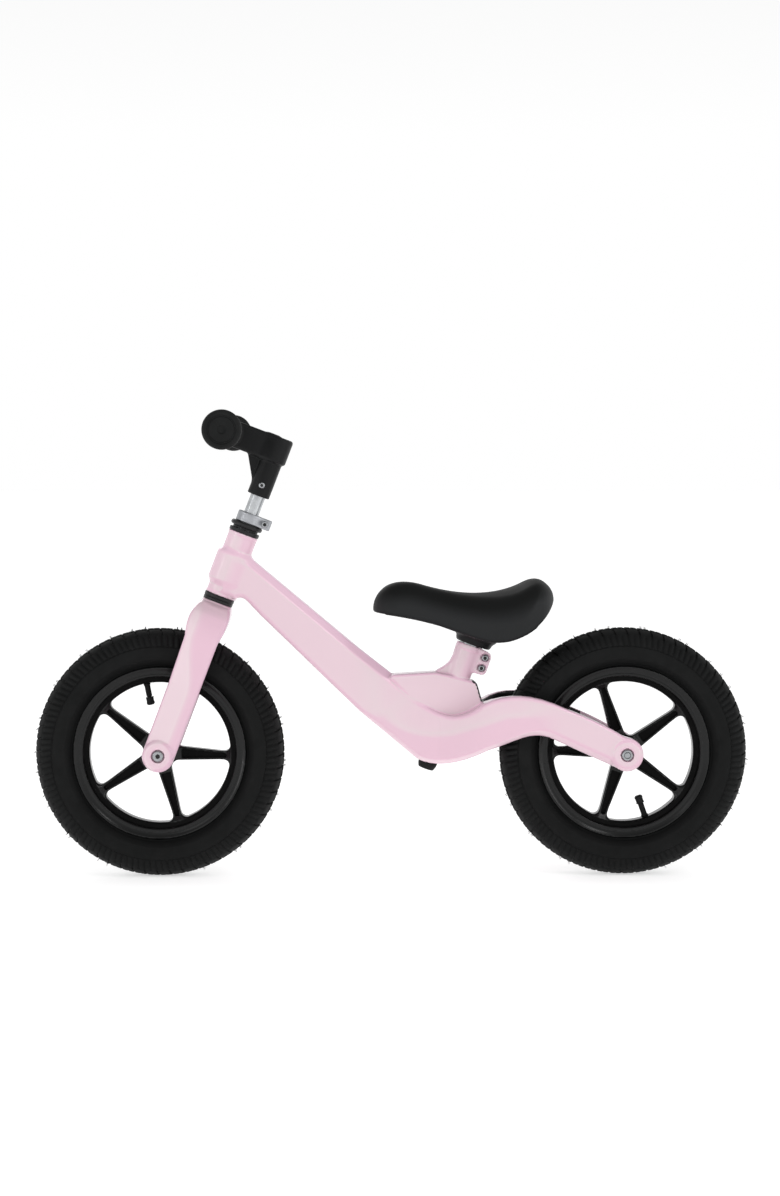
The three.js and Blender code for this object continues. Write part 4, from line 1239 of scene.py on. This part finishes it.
def inner_tube(valve_angle):
    """The hidden ring of the inner tube, and its valve stem between the spokes."""
    section = [(128 + 18 * cos(a), 18 * sin(a))
               for a in np.linspace(0, 2 * pi, 20, endpoint=False)]
    ring_points, ring_faces = lathe(section)
    stem = [(0, 65.5), (2.4, 65.5), (2.4, 70), (3.6, 70.4, 0.3), (3.6, 84), (4.3, 84.6),
            (4.3, 86), (3.9, 86.6), (3.9, 114), (0, 114)]
    stem_points, stem_faces = lathe(rounded(stem, 0.3), 32)
    angle = radians(valve_angle)
    x, y, z = stem_points.T
    placed = np.stack([z * cos(angle) - x * sin(angle), y,
                       z * sin(angle) + x * cos(angle)], axis=1)
    ring_placed = ring_points[:, [0, 2, 1]] * (1, -1, 1)
    return joined([(ring_placed, ring_faces), (placed, stem_faces)])


VALVE_CAP = [
    (0, 59.5), (3.6, 59.5, 0.9), (5.1, 61.2), (5.1, 63.2), (4.7, 63.5), (4.7, 68.2), (5.1, 68.5),
    (5.1, 69.6), (2.7, 69.6), (2.7, 64.5), (0, 64.5),
]


def bearing_profile():
    return [(4.3, 22.6), (11, 22.6), (11, 29.6), (9.4, 29.6), (9.1, 29.2), (6.4, 29.2), (6.1, 29.6),
            (4.3, 29.6)]


def wheels():
    tyre = make_mesh("tyre", *joined([tyre_shell(), *hairs()]), sharp=40)
    for end, hub in (("front", FRONT_HUB), ("rear", REAR_HUB)):
        place(f"{end}_air_tyre", tyre, "tyre", [f"{end}_tyre"], at(hub))
        field = rim_field(SPOKE_STARTS[end], VALVES[end])
        box = (-108, -31, -108), (108, 31, 108)
        rim = field_piece(f"{end}_five_spoke_rim", "rim_plastic", f"{end}_rim", field, *box,
                          step=1.25, matrix=at(hub))
        # The recesses get the darker matt plastic as painted shade.
        repaint(rim.data, MATT_PLASTIC_PAINTED_SHADE, rim_recess_shade_places(SPOKE_STARTS[end]))
        tube = make_mesh(f"{end}_tube_with_valve", *inner_tube(VALVES[end]))
        place(f"{end}_tube_with_valve", tube, "butyl", [f"{end}_inner_tube"], at(hub))
        cap_turn = Matrix.Rotation(radians(90 - VALVES[end]), 4, "Y")
        turned_piece(f"{end}_cap", "moulded_plastic", f"{end}_valve_cap", VALVE_CAP,
                     at(hub) @ cap_turn, radius=0.3, steps=32)
        for side, (_, turn) in SIDES.items():
            turned_piece(f"{end}_race_{side}", "steel", f"{end}_bearing_{side}", bearing_profile(),
                         at(hub) @ turn, radius=0.25)


# ---- Saddle ----

SADDLE_TOP = trace(
    (-200, 322), (-201, 342.5), (-200.5, 357, -187, 366), (-177, 372, -163, 365),
    (-137, 351, -102, 351), (-75, 351, -42, 360), (-12, 370, 7, 360), (22, 350, 23.4, 334),
    (23.4, 322),
)
SADDLE_UNDER = trace(
    (60, 329), (22, 327.5), (-20, 323, -59, 312), (-84, 303, -104, 297), (-130, 289, -152, 298),
    (-176, 307, -193, 329), (-210, 352),
)
SADDLE_PLAN = trace(
    (-222, 0), (-218, 44, -188, 60), (-160, 75, -126, 64.5), (-96, 53, -72, 43), (-50, 35, -14, 34.5),
    (20, 34, 36, 22), (52, 10, 54, 0),
)
ROUNDED_EDGE = 25.0
SADDLE_CROWN = 0.0030  # how fast the top falls away to the sides, per mm squared
PAN_INSET, PAN_DEPTH = 5, 13  # of the hard base, from the pad's edge and its top


def saddle_distances(x, y, z):
    plan = beside(SADDLE_PLAN, x, np.abs(y))
    crown = SADDLE_CROWN * y * y
    return plan, beside(SADDLE_TOP, x, z) + crown, beside(SADDLE_UNDER, x, z)


def pad_field(x, y, z):
    plan, top, under = saddle_distances(x, y, z)
    return meet(meet(plan, top, ROUNDED_EDGE), under, 3.0)


def saddle_base_field(x, y, z):
    plan, top, under = saddle_distances(x, y, z)
    pan = meet(np.maximum(plan + PAN_INSET, top + PAN_DEPTH), between(under, -3, 0.7), 0.6)
    ahead, along = SEAT.local(x, z)
    across = np.hypot(ahead, y)
    flare = 21.8 + 1.4 * ease((along - 1.5) / 5) + 4.5 * ease((along - 6) / 8)
    sleeve = meet(np.hypot(ahead + 3.5, y) - flare, between(along, 1.5, 26), 1.6)
    post_hole = np.maximum(across - SEAT_TUBE_BORE, along - POST_TOP - GAP)
    return cut(fuse(pan, sleeve, 4), post_hole, 0.5)


def saddle():
    box = (-202, -70, 290), (25, 70, 370)
    pad = field_piece("saddle_cushion", "saddle_skin", "saddle_pad", pad_field, *box, step=2.0)
    box = (-202, -70, 280), (25, 70, 345)
    field_piece("saddle_shell", "moulded_plastic", "saddle_base", saddle_base_field, *box,
                step=1.5)


# ---- Hidden pieces ----

def finish_hidden_pieces():
    """The ball rings and bearing sleeves keep their CAD shape and get a better finish."""
    for node in frame["nodes"].values():
        if not node.hide_render:
            node.data.materials.clear()
            node.data.materials.append(FINISHES["steel"])


# ---- Studio ----

FLOOR_RADIUS, FLOOR_THICKNESS = 40000, 20


def studio_floor():
    points, faces = lathe(ring(0, FLOOR_RADIUS, -FLOOR_THICKNESS, 0), 96)
    mesh = make_mesh("studio_floor", points, faces)
    glow = {"Emission Color": (1, 1, 1, 1), "Emission Strength": 0.52}
    s = Surface("studio_floor", 0.9, sockets=glow)
    s.mottled((243, 243, 243), (246, 246, 246), 0.7, 2)
    mesh.materials.append(s.material)
    floor = new_object("studio_floor", mesh)


def studio_world():
    """A white horizon under a darker top, so that upright faces are the lightest ones."""
    world = bpy.data.worlds.new("studio")
    bpy.context.scene.world = world
    world.use_nodes = True
    tree = world.node_tree
    coordinates = add_node(tree, "ShaderNodeTexCoord")
    split = add_node(tree, "ShaderNodeSeparateXYZ", Vector=coordinates.outputs["Generated"])
    shade = add_node(tree, "ShaderNodeValToRGB", Fac=split.outputs["Z"])
    set_stops(shade, [(0.12, (1, 1, 1)), (0.75, (0.5, 0.5, 0.5))])
    tree.links.new(shade.outputs["Color"], tree.nodes["Background"].inputs["Color"])


def area_light(name, place_mm, target_mm, size, power):
    light = bpy.data.lights.new(name, "AREA")
    light.shape = "RECTANGLE"
    light.size, light.size_y = size
    light.energy = power
    lamp = new_object(name, light)
    lamp.location = Vector(place_mm) * MM
    way = (Vector(target_mm) - Vector(place_mm)).normalized()
    lamp.rotation_euler = way.to_track_quat("-Z", "Y").to_euler()


def studio_lights():
    middle = (0, 0, 250)
    area_light("key", (1500, 2600, 1700), middle, (0.9, 0.9), 3)
    area_light("strip_ahead", (2300, 1200, 700), middle, (0.2, 1.8), 5)
    area_light("strip_behind", (-2300, 1300, 900), middle, (0.2, 1.8), 5)
    area_light("high_behind", (-1500, 1900, 2100), middle, (0.6, 0.6), 6)
    area_light("back_rim", (900, -2300, 1500), middle, (1.0, 1.0), 6)


CAMERA_PLACE = (76.8, 3299, 515.8)
CAMERA_WAY = (-0.0225, -0.9984, -0.0518)
CAMERA_LENS = 80.16


def studio_camera():
    camera = bpy.data.cameras.new("camera")
    camera.lens = CAMERA_LENS
    camera.sensor_width = 36
    camera.clip_end = 200
    holder = new_object("camera", camera)
    holder.location = Vector(CAMERA_PLACE) * MM
    holder.rotation_euler = Vector(CAMERA_WAY).to_track_quat("-Z", "Y").to_euler()
    bpy.context.scene.camera = holder


# ---- The bike ----

for build in (
    frame_casting, fork_casting, seat_clamp_screws, headset, tubes, rear_axle_parts,
    front_axle_parts, axle_collars, stem_clamp, stem, grips, wheels, saddle, finish_hidden_pieces,
    studio_floor, studio_world, studio_lights, studio_camera,
):
    build()
bpy.context.scene.view_settings.view_transform = "Standard"
